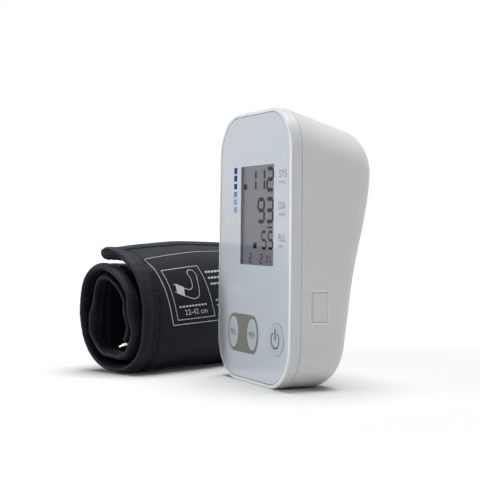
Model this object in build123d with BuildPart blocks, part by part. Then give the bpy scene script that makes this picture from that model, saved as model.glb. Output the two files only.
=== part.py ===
"""Talking upper-arm blood pressure monitor, standing on its lower end, with its arm cuff rolled up beside it.

Millimetres. +X is to the right as one faces the monitor, +Y is its back and +Z is up. The origin lies on the
base face, in the middle of the flat that the monitor stands on. Depths are measured backwards from the front
rim, and sketches face the front, so a negative extrusion runs towards the back.
"""

from build123d import *
from math import atan2, cos, degrees, hypot, pi, radians, sin, tan
import os

os.makedirs("parts", exist_ok=True)

# Case outline, seen from the front
case_width = 90.0
case_height = 150.0
waist_height = 60.0
top_narrowing = 1.2
bottom_narrowing = 0.5
top_corner_radius = 24.0
bottom_corner_radius = 22.0
wall = 2.2
base_centre_depth = 12.0

# Front cover
parting_depth = 6.2
rim_width = 1.9
rim_radius = 1.0
plate_thickness = 1.2
lip_inset = 1.25
lip_length = 1.7
fit_gap = 0.05
shadow_line_width = 0.3
shadow_line_depth = 0.5

# Flat pad under the rear housing, which stands just proud of its wall
base_pad_half_width = 18.0
base_pad_front_depth = 7.5
base_pad_back_depth = 17.5
base_pad_stand = 0.15
base_pad_thickness = 1.0

# Back of the case, in side view
loft_depth = 60.0
top_slope = 16.0
side_draft = 0.6
foot_line_depth = 34.8
lower_back_slope = 0.1308
straight_back_height = 52.0
thickest_height = 119.0
thickest_depth = 52.9
back_edge_radius = 12.5

# Panel and display window
panel_front_depth = 0.2
panel_thickness = 1.5
panel_gap = 0.25
panel_edge_radius = 0.3
window_width = 40.5
window_height = 54.5
window_x = 4.35
window_z = 92.65
window_corner = 0.6

# Keys
oval_half_width = 5.85
oval_half_height = 8.75
program_x = -22.85
memory_x = 0.7
oval_z = 26.95
power_x = 29.45
power_z = 26.8
power_radius = 8.65
key_gap = 0.2
key_proud = 0.5
key_travel = 0.8
key_edge_radius = 0.4
flange_width = 1.0
flange_thickness = 0.8
stem_radius = 2.4
surround_end_radius = 7.4
surround_half_height = 10.75
surround_left_x = -23.1
surround_right_x = 0.9

# Switches under the keys
switch_size = 6.0
switch_height = 3.5
switch_button_radius = 1.75
switch_button_length = 3.1
switch_bore_depth = 2.9
switch_clearance = 0.08

# Display
glass_thickness = 1.1
glass_margin = 2.75
contact_ledge = 5.0
polariser_thickness = 0.3
frame_width = 3.0
frame_gap = 0.2
display_gap = 0.1
connector_width = 2.2

# Main board
board_front_depth = 9.5
board_thickness = 1.6
board_width = 76.0
board_low = 14.5
board_high = 126.0
board_corner = 8.0
board_post_x = 34.0
board_post_heights = (60.0, 100.0)
board_post_radius = 2.6
board_hole_radius = 1.1
board_screw_radius = 0.95
board_screw_length = 5.0
board_screw_head_radius = 1.9
board_screw_head_height = 1.2

# Case screws and their bosses
case_screw_places = ((-36.0, 118.0), (36.0, 118.0), (-16.0, 9.0), (16.0, 9.0))
boss_meet_depth = 14.0
front_boss_radius = 3.4
rear_boss_radius = 4.3
boss_floor = 2.5
well_radius = 2.9
case_screw_radius = 1.2
case_screw_length = 9.0
case_screw_head_radius = 2.5
case_screw_head_height = 1.8
pilot_gap = 0.05
screw_hole_gap = 0.3

# Battery bay, for four AA cells side by side
cell_radius = 7.1
cell_pitch = 14.5
cell_count = 4
cell_can_length = 48.6
cell_nub_radius = 2.75
cell_nub_length = 1.4
cell_edge_radius = 0.6
cell_depth = 27.0
bay_half_width = 29.3
bay_low = 27.0
bay_high = 83.0
bay_floor_depth = 18.8
bay_wall = 1.6
contact_thickness = 0.4
contact_pad_height = 0.6
contact_gap = 2.0
spring_wire_radius = 0.35
spring_radius = 4.0
spring_pitch = 1.95
spring_taper = -14.0

# Battery cover
cover_half_width = 31.0
cover_low = 26.0
cover_high = 84.0
cover_gap = 0.25
cover_clearance = 0.3
tab_width = 9.0
tab_spacing = 34.0
tab_thickness = 1.5
tab_reach = 2.6
tab_swing_room = 5.2
latch_width = 10.0
latch_thickness = 1.4
latch_reach = 4.0
latch_drop = 3.0
thumb_recess_radius = 14.0
thumb_recess_depth = 1.2

# Speaker
speaker_z = 102.0
speaker_radius = 16.0
speaker_seat_depth = 45.9
speaker_rim_height = 2.4
speaker_total_height = 9.0
speaker_gap = 0.2
magnet_radius = 8.0
magnet_height = 4.0
collar_radius = 17.6
seat_inner_radius = 13.6
grille_ring_pitch = 4.1
grille_rings = 3
grille_hole_radius = 0.95

# Pump, valve, sensor and air lines
pump_radius = 12.0
pump_depth = 27.0
pump_z = 122.0
pump_left_x = -29.0
pump_head_length = 25.0
pump_motor_length = 33.0
pump_pad_thickness = 1.5
pump_groove_x = -12.0
pump_boss_radius = 3.2
pump_boss_length = 1.6
cradle_rib_thickness = 2.0
cradle_rib_places = (-18.0, 18.0)
air_x = -24.0
air_z = 100.0
manifold_radius = 3.0
manifold_half_length = 4.0
nipple_radius = 1.5
nipple_bore = 0.8
nipple_length = 3.0
tube_radius = 2.5
tube_gap = 0.02
tube_end_gap = 0.2
tube_bend_radius = 4.5
valve_x = -10.0
valve_radius = 6.5
valve_back_depth = 31.0
sensor_size = 9.0
sensor_height = 4.9

# Air socket on the left side
socket_z = 44.0
socket_depth = 22.0
socket_radius = 4.5
socket_bore_radius = 2.5
socket_bore_length = 8.0
socket_inner_x = -33.5
socket_flange_radius = 6.5
socket_flange_thickness = 1.5
socket_pad_x = -41.8
socket_nipple_x = -37.0

# Jack and its cover on the right side
door_front_depth = 12.5
door_back_depth = 22.4
door_low = 36.6
door_high = 52.5
door_gap = 0.2
door_thickness = 1.6
door_hinge_x = 43.75
door_hinge_depth = 13.75
door_barrel_radius = 0.9
door_pin_radius = 0.5
door_pin_length = 1.0
door_pin_gap = 0.06
door_pocket_depth = 2.3
jack_pad_thickness = 1.6
jack_hole_radius = 4.6
jack_bore_radius = 2.8
jack_bore_length = 8.0
jack_pin_radius = 1.0
jack_body_length = 9.6
jack_body_width = 9.0
jack_body_height = 11.0

# Feet on the back, for the monitor to lie on
foot_x = 24.0
foot_low_z = 18.5
foot_high_z = 120.0
foot_radius = 3.5
foot_stand = 1.0
foot_thickness = 1.6
foot_gap = 0.05
foot_chamfer = 0.3

# Arm cuff, rolled up
roll_turn = 24.0
roll_x = -50.0
roll_depth = -60.9
roll_centre = -17.0
roll_half_width = 28.0
roll_half_height = 34.0
roll_centre_height = 33.694
roll_squareness = 2.3
roll_lean = 0.12
roll_pitch = 7.0
roll_pitch_start = 0.45
roll_tip_angle = 92.0
roll_turns = 2.42
flap_lift = 7.0
flap_turns = 0.3
cuff_width = 145.0
cuff_thickness = 4.6
near_edge = 15.0
edge_shift = 8.0
edge_shift_turns = 0.9
edge_return = 3.0
section_turn = 0.22
points_for_turn = 18
bladder_start = 0.75
bladder_end = 2.05
bladder_thickness = 1.4
bladder_clearance = 0.2
bladder_margin = 9.0
bladder_end_gap = 0.01
ring_wire_radius = 1.5
ring_gap = 0.06
ring_sleeve_radius = 3.0
ring_span = 9.0
ring_corner = 3.0
ring_tilt = 20.0
ring_end_margin = 3.0
ring_sleeve_margin = 8.0
ring_notch_gap = 1.2
port_radius = 1.7
port_shank_radius = 1.5
port_bore_radius = 1.0
port_step = 2.0
port_stand = 10.0
port_turn = 1.5

# Values that follow from the ones above
panel_back_depth = panel_front_depth + panel_thickness
plate_back_depth = panel_back_depth + plate_thickness
display_front_depth = panel_back_depth + display_gap
frame_front_depth = plate_back_depth + display_gap
glass_width = window_width + 2 * glass_margin
glass_height = window_height + 2 * glass_margin
glass_middle_z = window_z - contact_ledge / 2
board_back_depth = board_front_depth + board_thickness
flange_front_depth = plate_back_depth + fit_gap
flange_back_depth = flange_front_depth + flange_thickness
switch_front_depth = board_front_depth - switch_height
button_front_depth = switch_front_depth - (key_travel + 0.3)
surround_middle_x = (surround_left_x + surround_right_x) / 2
surround_middle_z = (oval_z + power_z) / 2
surround_length = surround_right_x - surround_left_x


def front_plane(depth):
    """Plane that faces the front, at a depth behind the front rim."""
    return Plane.XZ.offset(base_centre_depth - depth)


def side_plane(x):
    """Plane that faces the right side, drawn in depth and height."""
    return Plane(origin=(x, -base_centre_depth, 0), x_dir=(0, 1, 0), z_dir=(1, 0, 0))


def back_depth(height):
    """Depth of the straight lower part of the back at a height."""
    return foot_line_depth + lower_back_slope * height


def case_outline(depth, inset=0.0, drop=0.0, draft=0.0):
    """Rounded outline of the case on a front plane, drawn inset from the outer wall."""
    half = case_width / 2 - inset - draft
    top = case_height - inset - drop
    low_half = half - bottom_narrowing
    top_half = half - top_narrowing
    with BuildSketch(front_plane(depth)) as outline:
        with BuildLine():
            right = ThreePointArc((low_half, inset), (half, waist_height), (top_half, top))
            over = Line(right @ 1, (-top_half, top))
            left = ThreePointArc(over @ 1, (-half, waist_height), (-low_half, inset))
            Line(left @ 1, right @ 0)
        make_face()
        corners = outline.vertices().group_by(Axis.Z)
        fillet(corners[-1], top_corner_radius - inset)
        fillet(corners[0], bottom_corner_radius - inset)
    return outline.sketch


def case_form(inset):
    """Solid form of the case behind the parting line, with its walls drawn inset."""
    drop = (loft_depth - parting_depth) * tan(radians(top_slope))
    with BuildPart() as form:
        loft([case_outline(parting_depth, inset), case_outline(loft_depth, inset, drop, side_draft)])
        with BuildSketch(side_plane(-case_width)) as side_view:
            with BuildLine():
                low_start = (foot_line_depth - inset, 0)
                low = Line(low_start, (back_depth(straight_back_height) - inset, straight_back_height))
                bulge = Spline(
                    low @ 1,
                    (47.4 - inset, 81.0),
                    (thickest_depth - 0.6 - inset, thickest_height - 12.5),
                    (thickest_depth - inset, thickest_height),
                    (thickest_depth - 2.1 - inset, thickest_height + 13.0),
                    (thickest_depth - 7.0 - inset, case_height),
                    tangents=((lower_back_slope, 1), (-0.35, 1)),
                )
                Polyline(bulge @ 1, (-1, case_height), (-1, -1), (low @ 0 - (lower_back_slope, 1)))
                Line((low @ 0 - (lower_back_slope, 1)), low @ 0)
            make_face()
        extrude(amount=2 * case_width, mode=Mode.INTERSECT)
        back = form.faces().sort_by(Axis.Y)[-1]
        fillet(back.outer_wire().edges(), back_edge_radius - inset)
    return form.part


outer_form = case_form(0.0)
inner_form = case_form(wall)
ledge_form = case_form(wall + cover_clearance)


# Front cover: rim, plate behind the panel, tongue for the rear housing, screw bosses and board posts
with BuildPart() as front_cover:
    extrude(case_outline(0.0), amount=-parting_depth)
    fillet(front_cover.faces().sort_by(Axis.Y)[0].outer_wire().edges(), rim_radius)
    extrude(case_outline(0.0, rim_width), amount=-panel_back_depth, mode=Mode.SUBTRACT)
    extrude(case_outline(parting_depth, lip_inset), amount=-lip_length)
    extrude(case_outline(plate_back_depth, wall), amount=-case_height, mode=Mode.SUBTRACT)
    with BuildSketch(front_plane(0.0)):
        with Locations((window_x, glass_middle_z)):
            Rectangle(glass_width + 2 * frame_gap, glass_height + contact_ledge + 2 * frame_gap)
        with Locations((program_x, oval_z), (memory_x, oval_z)):
            Ellipse(oval_half_width + key_gap, oval_half_height + key_gap)
        with Locations((power_x, power_z)):
            Circle(power_radius + key_gap)
    extrude(amount=-parting_depth, mode=Mode.SUBTRACT)
    with BuildSketch(front_plane(panel_back_depth)):
        with Locations(*case_screw_places):
            Circle(front_boss_radius)
    extrude(amount=-(boss_meet_depth - panel_back_depth))
    with BuildSketch(front_plane(panel_back_depth)):
        for post_z in board_post_heights:
            with Locations((-board_post_x, post_z), (board_post_x, post_z)):
                Circle(board_post_radius)
    extrude(amount=-(board_front_depth - panel_back_depth))
    with BuildSketch(front_plane(boss_meet_depth)):
        with Locations(*case_screw_places):
            Circle(case_screw_radius + pilot_gap)
    extrude(amount=case_screw_length, mode=Mode.SUBTRACT)
    with BuildSketch(front_plane(board_front_depth)):
        for post_z in board_post_heights:
            with Locations((-board_post_x, post_z), (board_post_x, post_z)):
                Circle(board_screw_radius + pilot_gap)
    extrude(amount=board_screw_length, mode=Mode.SUBTRACT)
front_cover.part.label = "front_cover"
export_step(front_cover.part, "parts/front_cover.step")


# Glossy panel set into the front cover
with BuildPart() as front_panel:
    extrude(case_outline(panel_front_depth, rim_width + panel_gap), amount=-panel_thickness)
    fillet(front_panel.faces().sort_by(Axis.Y)[0].outer_wire().edges(), panel_edge_radius)
    with BuildSketch(front_plane(0.0)):
        with Locations((window_x, window_z)):
            RectangleRounded(window_width, window_height, window_corner)
        with Locations((surround_middle_x, surround_middle_z)):
            Rectangle(surround_length, 2 * surround_half_height)
        with Locations((surround_left_x, surround_middle_z), (surround_right_x, surround_middle_z)):
            Ellipse(surround_end_radius, surround_half_height)
        with Locations((power_x, power_z)):
            Circle(power_radius + key_gap)
    extrude(amount=-parting_depth, mode=Mode.SUBTRACT)
front_panel.part.label = "front_panel"
export_step(front_panel.part, "parts/front_panel.step")


# Clear window over the display
with BuildPart() as display_window:
    with BuildSketch(front_plane(panel_front_depth)):
        with Locations((window_x, window_z)):
            RectangleRounded(window_width - 2 * fit_gap, window_height - 2 * fit_gap, window_corner)
    extrude(amount=-panel_thickness)
display_window.part.label = "display_window"
export_step(display_window.part, "parts/display_window.step")


# Inlay round the two oval keys
with BuildPart() as key_surround:
    with BuildSketch(front_plane(panel_front_depth)):
        with Locations((surround_middle_x, surround_middle_z)):
            Rectangle(surround_length, 2 * (surround_half_height - fit_gap))
        with Locations((surround_left_x, surround_middle_z), (surround_right_x, surround_middle_z)):
            Ellipse(surround_end_radius - fit_gap, surround_half_height - fit_gap)
        with Locations((program_x, oval_z), (memory_x, oval_z)):
            Ellipse(oval_half_width + key_gap, oval_half_height + key_gap, mode=Mode.SUBTRACT)
    extrude(amount=-panel_thickness)
key_surround.part.label = "key_surround"
export_step(key_surround.part, "parts/key_surround.step")


# Keys: a cap through the panel, a flange that stops it behind the plate, and a stem on the switch
key_places = {
    "program": (program_x, oval_z, oval_half_width, oval_half_height),
    "memory": (memory_x, oval_z, oval_half_width, oval_half_height),
    "power": (power_x, power_z, power_radius, power_radius),
}
for key_name, (key_x, key_z, half_width, half_height) in key_places.items():
    with BuildPart() as key:
        with BuildSketch(front_plane(panel_front_depth - key_proud)):
            with Locations((key_x, key_z)):
                if half_width != half_height:
                    Ellipse(half_width, half_height)
                else:
                    Circle(half_width)
        extrude(amount=-(flange_front_depth - panel_front_depth + key_proud))
        fillet(key.faces().sort_by(Axis.Y)[0].edges(), key_edge_radius)
        with BuildSketch(front_plane(flange_front_depth)):
            with Locations((key_x, key_z)):
                if half_width != half_height:
                    Ellipse(half_width + flange_width, half_height + flange_width)
                else:
                    Circle(half_width + flange_width)
        extrude(amount=-flange_thickness)
        with BuildSketch(front_plane(flange_back_depth)):
            with Locations((key_x, key_z)):
                Circle(stem_radius)
        extrude(amount=-(button_front_depth - flange_back_depth))
    key.part.label = key_name + "_key"
    export_step(key.part, "parts/" + key_name + "_key.step")

    with BuildPart() as switch:
        with BuildSketch(front_plane(switch_front_depth)):
            with Locations((key_x, key_z)):
                Rectangle(switch_size, switch_size)
        extrude(amount=-switch_height)
        with BuildSketch(front_plane(switch_front_depth)):
            with Locations((key_x, key_z)):
                Circle(switch_button_radius + switch_clearance)
        extrude(amount=-switch_bore_depth, mode=Mode.SUBTRACT)
    switch.part.label = key_name + "_switch"
    export_step(switch.part, "parts/" + key_name + "_switch.step")

    with BuildPart() as switch_button:
        with BuildSketch(front_plane(button_front_depth)):
            with Locations((key_x, key_z)):
                Circle(switch_button_radius)
        extrude(amount=-switch_button_length)
    switch_button.part.label = key_name + "_switch_button"
    export_step(switch_button.part, "parts/" + key_name + "_switch_button.step")


# Display: front glass with a contact ledge below, rear glass and reflector
with BuildPart() as display:
    with BuildSketch(front_plane(display_front_depth)):
        with Locations((window_x, glass_middle_z)):
            Rectangle(glass_width, glass_height + contact_ledge)
    extrude(amount=-glass_thickness)
    with BuildSketch(front_plane(display_front_depth + glass_thickness)):
        with Locations((window_x, window_z)):
            Rectangle(glass_width, glass_height)
    extrude(amount=-glass_thickness)
    with BuildSketch(front_plane(display_front_depth + 2 * glass_thickness)):
        with Locations((window_x, window_z)):
            Rectangle(glass_width - 1.0, glass_height - 1.0)
    extrude(amount=-polariser_thickness)
display.part.label = "display"
export_step(display.part, "parts/display.step")

with BuildPart() as display_frame:
    with BuildSketch(front_plane(frame_front_depth)):
        with Locations((window_x, glass_middle_z)):
            Rectangle(
                glass_width + 2 * (frame_width + frame_gap),
                glass_height + contact_ledge + 2 * (frame_width + frame_gap),
            )
            Rectangle(
                glass_width + 2 * frame_gap,
                glass_height + contact_ledge + 2 * frame_gap,
                mode=Mode.SUBTRACT,
            )
    extrude(amount=-(board_front_depth - frame_front_depth))
display_frame.part.label = "display_frame"
export_step(display_frame.part, "parts/display_frame.step")

with BuildPart() as display_connector:
    with BuildSketch(front_plane(display_front_depth + glass_thickness)):
        with Locations((window_x, window_z - glass_height / 2 - contact_ledge / 2)):
            Rectangle(glass_width - 2.0, connector_width)
    extrude(amount=-(board_front_depth - display_front_depth - glass_thickness))
display_connector.part.label = "display_connector"
export_step(display_connector.part, "parts/display_connector.step")


# Main board with its screw holes and cut-outs for the case bosses
with BuildPart() as main_board:
    with BuildSketch(front_plane(board_front_depth)):
        with Locations((0, (board_low + board_high) / 2)):
            RectangleRounded(board_width, board_high - board_low, board_corner)
        with Locations(*case_screw_places):
            Circle(front_boss_radius + 2 * cover_clearance, mode=Mode.SUBTRACT)
        for post_z in board_post_heights:
            with Locations((-board_post_x, post_z), (board_post_x, post_z)):
                Circle(board_hole_radius, mode=Mode.SUBTRACT)
    extrude(amount=-board_thickness)
main_board.part.label = "main_board"
export_step(main_board.part, "parts/main_board.step")

with BuildPart() as board_chips:
    with BuildSketch(front_plane(board_back_depth)):
        with Locations((8, 100)):
            Rectangle(12, 12)
        with Locations((24, 98)):
            Rectangle(8, 5)
        with Locations((24, 108)):
            Rectangle(5, 4)
    extrude(amount=-1.5)
board_chips.part.label = "board_chips"
export_step(board_chips.part, "parts/board_chips.step")

with BuildPart() as board_screws:
    for post_z in board_post_heights:
        with BuildSketch(front_plane(board_back_depth)):
            with Locations((-board_post_x, post_z), (board_post_x, post_z)):
                Circle(board_screw_head_radius)
        extrude(amount=-board_screw_head_height)
        with BuildSketch(front_plane(board_back_depth)):
            with Locations((-board_post_x, post_z), (board_post_x, post_z)):
                Circle(board_screw_radius)
        extrude(amount=board_thickness + board_screw_length - 0.5)
board_screws.part.label = "board_screws"
export_step(board_screws.part, "parts/board_screws.step")


# Blocks that the rear housing carries, each cut to the form of the case
with BuildPart() as bay_block:
    with BuildSketch(front_plane(bay_floor_depth - bay_wall)):
        with Locations((0, (bay_low + bay_high) / 2)):
            Rectangle(2 * (bay_half_width + bay_wall), bay_high - bay_low + 2 * bay_wall)
    extrude(amount=-loft_depth)
    add(inner_form, mode=Mode.INTERSECT)

with BuildPart() as boss_block:
    with BuildSketch(front_plane(boss_meet_depth)):
        with Locations(*case_screw_places):
            Circle(rear_boss_radius)
    extrude(amount=-loft_depth)
    add(outer_form, mode=Mode.INTERSECT)

with BuildPart() as speaker_collar:
    with BuildSketch(front_plane(speaker_seat_depth - speaker_rim_height)):
        with Locations((0, speaker_z)):
            Circle(collar_radius)
            Circle(seat_inner_radius, mode=Mode.SUBTRACT)
    extrude(amount=-loft_depth)
    with BuildSketch(front_plane(speaker_seat_depth)):
        with Locations((0, speaker_z)):
            Circle(speaker_radius + speaker_gap)
    extrude(amount=loft_depth, mode=Mode.SUBTRACT)
    add(outer_form, mode=Mode.INTERSECT)

with BuildPart() as pump_cradle:
    for rib_x in cradle_rib_places:
        with BuildSketch(side_plane(rib_x - cradle_rib_thickness / 2)):
            with Locations((pump_depth + 2 * pump_radius, pump_z)):
                Rectangle(4 * pump_radius, 2 * pump_radius + 2 * pump_pad_thickness + 3.0)
            with Locations((pump_depth, pump_z)):
                Circle(pump_radius + pump_pad_thickness, mode=Mode.SUBTRACT)
        extrude(amount=cradle_rib_thickness)
    add(outer_form, mode=Mode.INTERSECT)

with BuildPart() as jack_pad:
    with BuildSketch(side_plane(case_width / 2 - door_pocket_depth - jack_pad_thickness)):
        with Locations(((door_front_depth + door_back_depth) / 2, (door_low + door_high) / 2)):
            Rectangle(door_back_depth - door_front_depth + 3.0, door_high - door_low + 4.0)
    extrude(amount=jack_pad_thickness + door_pocket_depth)
    add(outer_form, mode=Mode.INTERSECT)

with BuildPart() as socket_pad:
    with BuildSketch(side_plane(-case_width / 2)):
        with Locations((socket_depth, socket_z)):
            Circle(socket_flange_radius + 0.5)
    extrude(amount=socket_pad_x + case_width / 2)
    add(outer_form, mode=Mode.INTERSECT)

# Opening in the back wall for the battery cover, and the slots for its tabs inside the wall
with BuildPart() as cover_opening:
    with BuildSketch(front_plane(bay_floor_depth)):
        with Locations((0, (cover_low + cover_high) / 2)):
            Rectangle(2 * (cover_half_width + cover_gap), cover_high - cover_low + 2 * cover_gap)
    extrude(amount=-loft_depth)
    add(ledge_form, mode=Mode.SUBTRACT)

with BuildPart() as tab_slots:
    with BuildSketch(front_plane(back_depth(cover_low) - tab_swing_room)):
        with Locations((-tab_spacing / 2, cover_low), (tab_spacing / 2, cover_low)):
            Rectangle(tab_width + 4 * cover_clearance, 2 * (tab_reach + cover_clearance))
    extrude(amount=-loft_depth)
    add(inner_form, mode=Mode.INTERSECT)

with BuildPart() as thumb_recess:
    with Locations((0, 47.9 + thumb_recess_radius - thumb_recess_depth - base_centre_depth, cover_high)):
        Sphere(thumb_recess_radius)

# Line on the back that the battery cover tips about, and the plane that the feet lie in
cover_hinge_z = cover_low - cover_gap / 2
cover_hinge_depth = back_depth(cover_hinge_z)
foot_rise = thickest_depth - back_depth(foot_low_z)
foot_angle = atan2(foot_rise, foot_high_z - foot_low_z)
foot_normal = Vector(0, cos(foot_angle), -sin(foot_angle))
foot_tips = {
    "lower_left_foot": Vector(-foot_x, back_depth(foot_low_z) - base_centre_depth, foot_low_z),
    "lower_right_foot": Vector(foot_x, back_depth(foot_low_z) - base_centre_depth, foot_low_z),
    "upper_left_foot": Vector(-foot_x, thickest_depth - base_centre_depth, foot_high_z),
    "upper_right_foot": Vector(foot_x, thickest_depth - base_centre_depth, foot_high_z),
}
door_middle_depth = (door_front_depth + door_back_depth) / 2
door_middle_z = (door_low + door_high) / 2


# Rear housing: deep shell with the battery bay, wells, speaker seat and grille, pump cradle and side openings
with BuildPart() as rear_housing:
    add(outer_form)
    with BuildSketch(Plane.XY.offset(base_pad_stand)):
        Rectangle(2 * case_width, 4 * loft_depth)
    extrude(amount=-wall, mode=Mode.SUBTRACT)
    with BuildSketch(Plane.XY):
        with Locations((0, (base_pad_front_depth + base_pad_back_depth) / 2 - base_centre_depth)):
            Rectangle(2 * base_pad_half_width, base_pad_back_depth - base_pad_front_depth)
    extrude(amount=base_pad_thickness)
    add(inner_form, mode=Mode.SUBTRACT)
    rabbet = case_outline(parting_depth, lip_inset - fit_gap)
    extrude(rabbet, amount=-(lip_length + fit_gap), mode=Mode.SUBTRACT)
    shadow_line = case_outline(parting_depth, -1.0) - case_outline(parting_depth, shadow_line_depth)
    extrude(shadow_line, amount=-shadow_line_width, mode=Mode.SUBTRACT)
    add(bay_block.part)
    add(boss_block.part)
    add(speaker_collar.part)
    add(pump_cradle.part)
    add(jack_pad.part)
    add(socket_pad.part)
    add(cover_opening.part, mode=Mode.SUBTRACT)
    with BuildSketch(front_plane(bay_floor_depth)):
        with Locations((0, (bay_low + bay_high) / 2)):
            Rectangle(2 * bay_half_width, bay_high - bay_low)
    extrude(amount=-loft_depth, mode=Mode.SUBTRACT)
    add(tab_slots.part, mode=Mode.SUBTRACT)
    add(thumb_recess.part, mode=Mode.SUBTRACT)
    with BuildSketch(front_plane(boss_meet_depth)):
        with Locations(*case_screw_places):
            Circle(case_screw_radius + screw_hole_gap)
    extrude(amount=-boss_floor, mode=Mode.SUBTRACT)
    with BuildSketch(front_plane(boss_meet_depth + boss_floor)):
        with Locations(*case_screw_places):
            Circle(well_radius)
    extrude(amount=-loft_depth, mode=Mode.SUBTRACT)
    with BuildSketch(front_plane(speaker_seat_depth - 1.0)):
        with Locations((0, speaker_z)):
            Circle(grille_hole_radius)
            for ring in range(1, grille_rings):
                with PolarLocations(ring * grille_ring_pitch, 6 * ring):
                    Circle(grille_hole_radius)
    extrude(amount=-loft_depth, mode=Mode.SUBTRACT)
    with BuildSketch(side_plane(-case_width / 2)):
        with Locations((socket_depth, socket_z)):
            Circle(socket_radius + fit_gap)
    extrude(amount=case_width / 2 + socket_inner_x, mode=Mode.SUBTRACT)
    with BuildSketch(side_plane(case_width / 2 - door_pocket_depth)):
        with Locations((door_middle_depth, door_middle_z)):
            Rectangle(door_back_depth - door_front_depth, door_high - door_low)
    extrude(amount=2 * door_pocket_depth, mode=Mode.SUBTRACT)
    with BuildSketch(side_plane(case_width / 2 - door_pocket_depth)):
        with Locations((door_middle_depth, door_middle_z)):
            Circle(jack_hole_radius)
    extrude(amount=-2 * jack_pad_thickness, mode=Mode.SUBTRACT)
    with BuildSketch(Plane.XY.offset(door_low - door_pin_length - door_gap)):
        with Locations((door_hinge_x, door_hinge_depth - base_centre_depth)):
            Circle(door_pin_radius + door_pin_gap)
    extrude(amount=door_high - door_low + 2 * (door_pin_length + door_gap), mode=Mode.SUBTRACT)
    for tip in foot_tips.values():
        with BuildSketch(Plane(origin=tip + foot_normal * (foot_stand - foot_thickness), z_dir=foot_normal)):
            Circle(foot_radius + foot_gap)
        extrude(amount=2 * foot_thickness, mode=Mode.SUBTRACT)
rear_housing.part.label = "rear_housing"
export_step(rear_housing.part, "parts/rear_housing.step")


# Battery cover: the back wall over the bay, with two tabs that hook under the housing's edge
with BuildPart() as battery_cover:
    with BuildSketch(front_plane(bay_floor_depth)):
        with Locations((0, (cover_low + cover_high) / 2)):
            Rectangle(2 * cover_half_width, cover_high - cover_low)
    extrude(amount=-loft_depth)
    add(outer_form, mode=Mode.INTERSECT)
    add(inner_form, mode=Mode.SUBTRACT)
    with BuildSketch(side_plane(-tab_spacing / 2 - tab_width / 2)) as tab_shape:
        with BuildLine():
            inner_low = cover_hinge_depth - wall - cover_clearance
            Polyline(
                (inner_low + 1.2, cover_low + 3.0),
                (inner_low - tab_thickness, cover_low + 3.0),
                (inner_low - tab_thickness, cover_low - tab_reach),
                (inner_low - 0.3, cover_low - tab_reach),
                (inner_low - 0.3, cover_low),
                (inner_low + 1.2, cover_low),
                close=True,
            )
        make_face()
    extrude(amount=tab_width)
    with BuildSketch(side_plane(tab_spacing / 2 - tab_width / 2)):
        add(tab_shape.sketch_local)
    extrude(amount=tab_width)
    with BuildSketch(side_plane(-latch_width / 2)):
        with Locations((47.4 - wall - latch_reach / 2 + 0.6, cover_high - latch_drop)):
            Rectangle(latch_reach + 1.2, latch_thickness)
    extrude(amount=latch_width)
    add(thumb_recess.part, mode=Mode.SUBTRACT)
battery_cover.part.label = "battery_cover"
export_step(battery_cover.part, "parts/battery_cover.step")


# Rubber feet on the back
for foot_name, tip in foot_tips.items():
    with BuildPart() as foot:
        with BuildSketch(Plane(origin=tip + foot_normal * (foot_stand - foot_thickness), z_dir=foot_normal)):
            Circle(foot_radius)
        extrude(amount=foot_thickness)
        chamfer(foot.faces().sort_by(Axis.Y)[-1].edges(), foot_chamfer)
    foot.part.label = foot_name
    export_step(foot.part, "parts/" + foot_name + ".step")


# Cells, in alternate directions, with their springs and contact plates
cell_middle_z = (bay_low + bay_high) / 2
cell_y = cell_depth - base_centre_depth
cell_span = cell_can_length + cell_nub_length
spring_height = bay_high - bay_low - cell_span - 2 * contact_thickness - contact_pad_height
cell_places = []
for index in range(cell_count):
    cell_x = (index - (cell_count - 1) / 2) * cell_pitch
    nub_up = index % 2 == 0
    cell_places.append((cell_x, nub_up))

for index, (cell_x, nub_up) in enumerate(cell_places):
    direction = 1 if nub_up else -1
    start_z = cell_middle_z - direction * ((bay_high - bay_low) / 2 - contact_thickness - spring_height)
    nub_z = start_z + direction * cell_can_length
    with BuildPart() as cell:
        with BuildSketch(Plane(origin=(cell_x, cell_y, start_z), z_dir=(0, 0, direction))):
            Circle(cell_radius)
        extrude(amount=cell_can_length)
        fillet(cell.edges(), cell_edge_radius)
        with BuildSketch(Plane(origin=(cell_x, cell_y, nub_z), z_dir=(0, 0, direction))):
            Circle(cell_nub_radius)
        extrude(amount=cell_nub_length)
    cell.part.label = "cell_" + str(index + 1)
    export_step(cell.part, "parts/cell_" + str(index + 1) + ".step")

with BuildPart() as cell_contacts:
    for cell_x, nub_up in cell_places:
        direction = 1 if nub_up else -1
        for end, pad in ((direction, True), (-direction, False)):
            face_z = cell_middle_z + end * (bay_high - bay_low) / 2
            contact_plane = Plane(origin=(cell_x, cell_y, face_z), z_dir=(0, 0, -end))
            with BuildSketch(contact_plane):
                Rectangle(cell_pitch - contact_gap, cell_pitch - contact_gap)
            extrude(amount=contact_thickness)
            if pad:
                with BuildSketch(contact_plane):
                    Circle(cell_nub_radius - 0.4)
                extrude(amount=contact_thickness + contact_pad_height)
cell_contacts.part.label = "cell_contacts"
export_step(cell_contacts.part, "parts/cell_contacts.step")

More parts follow.
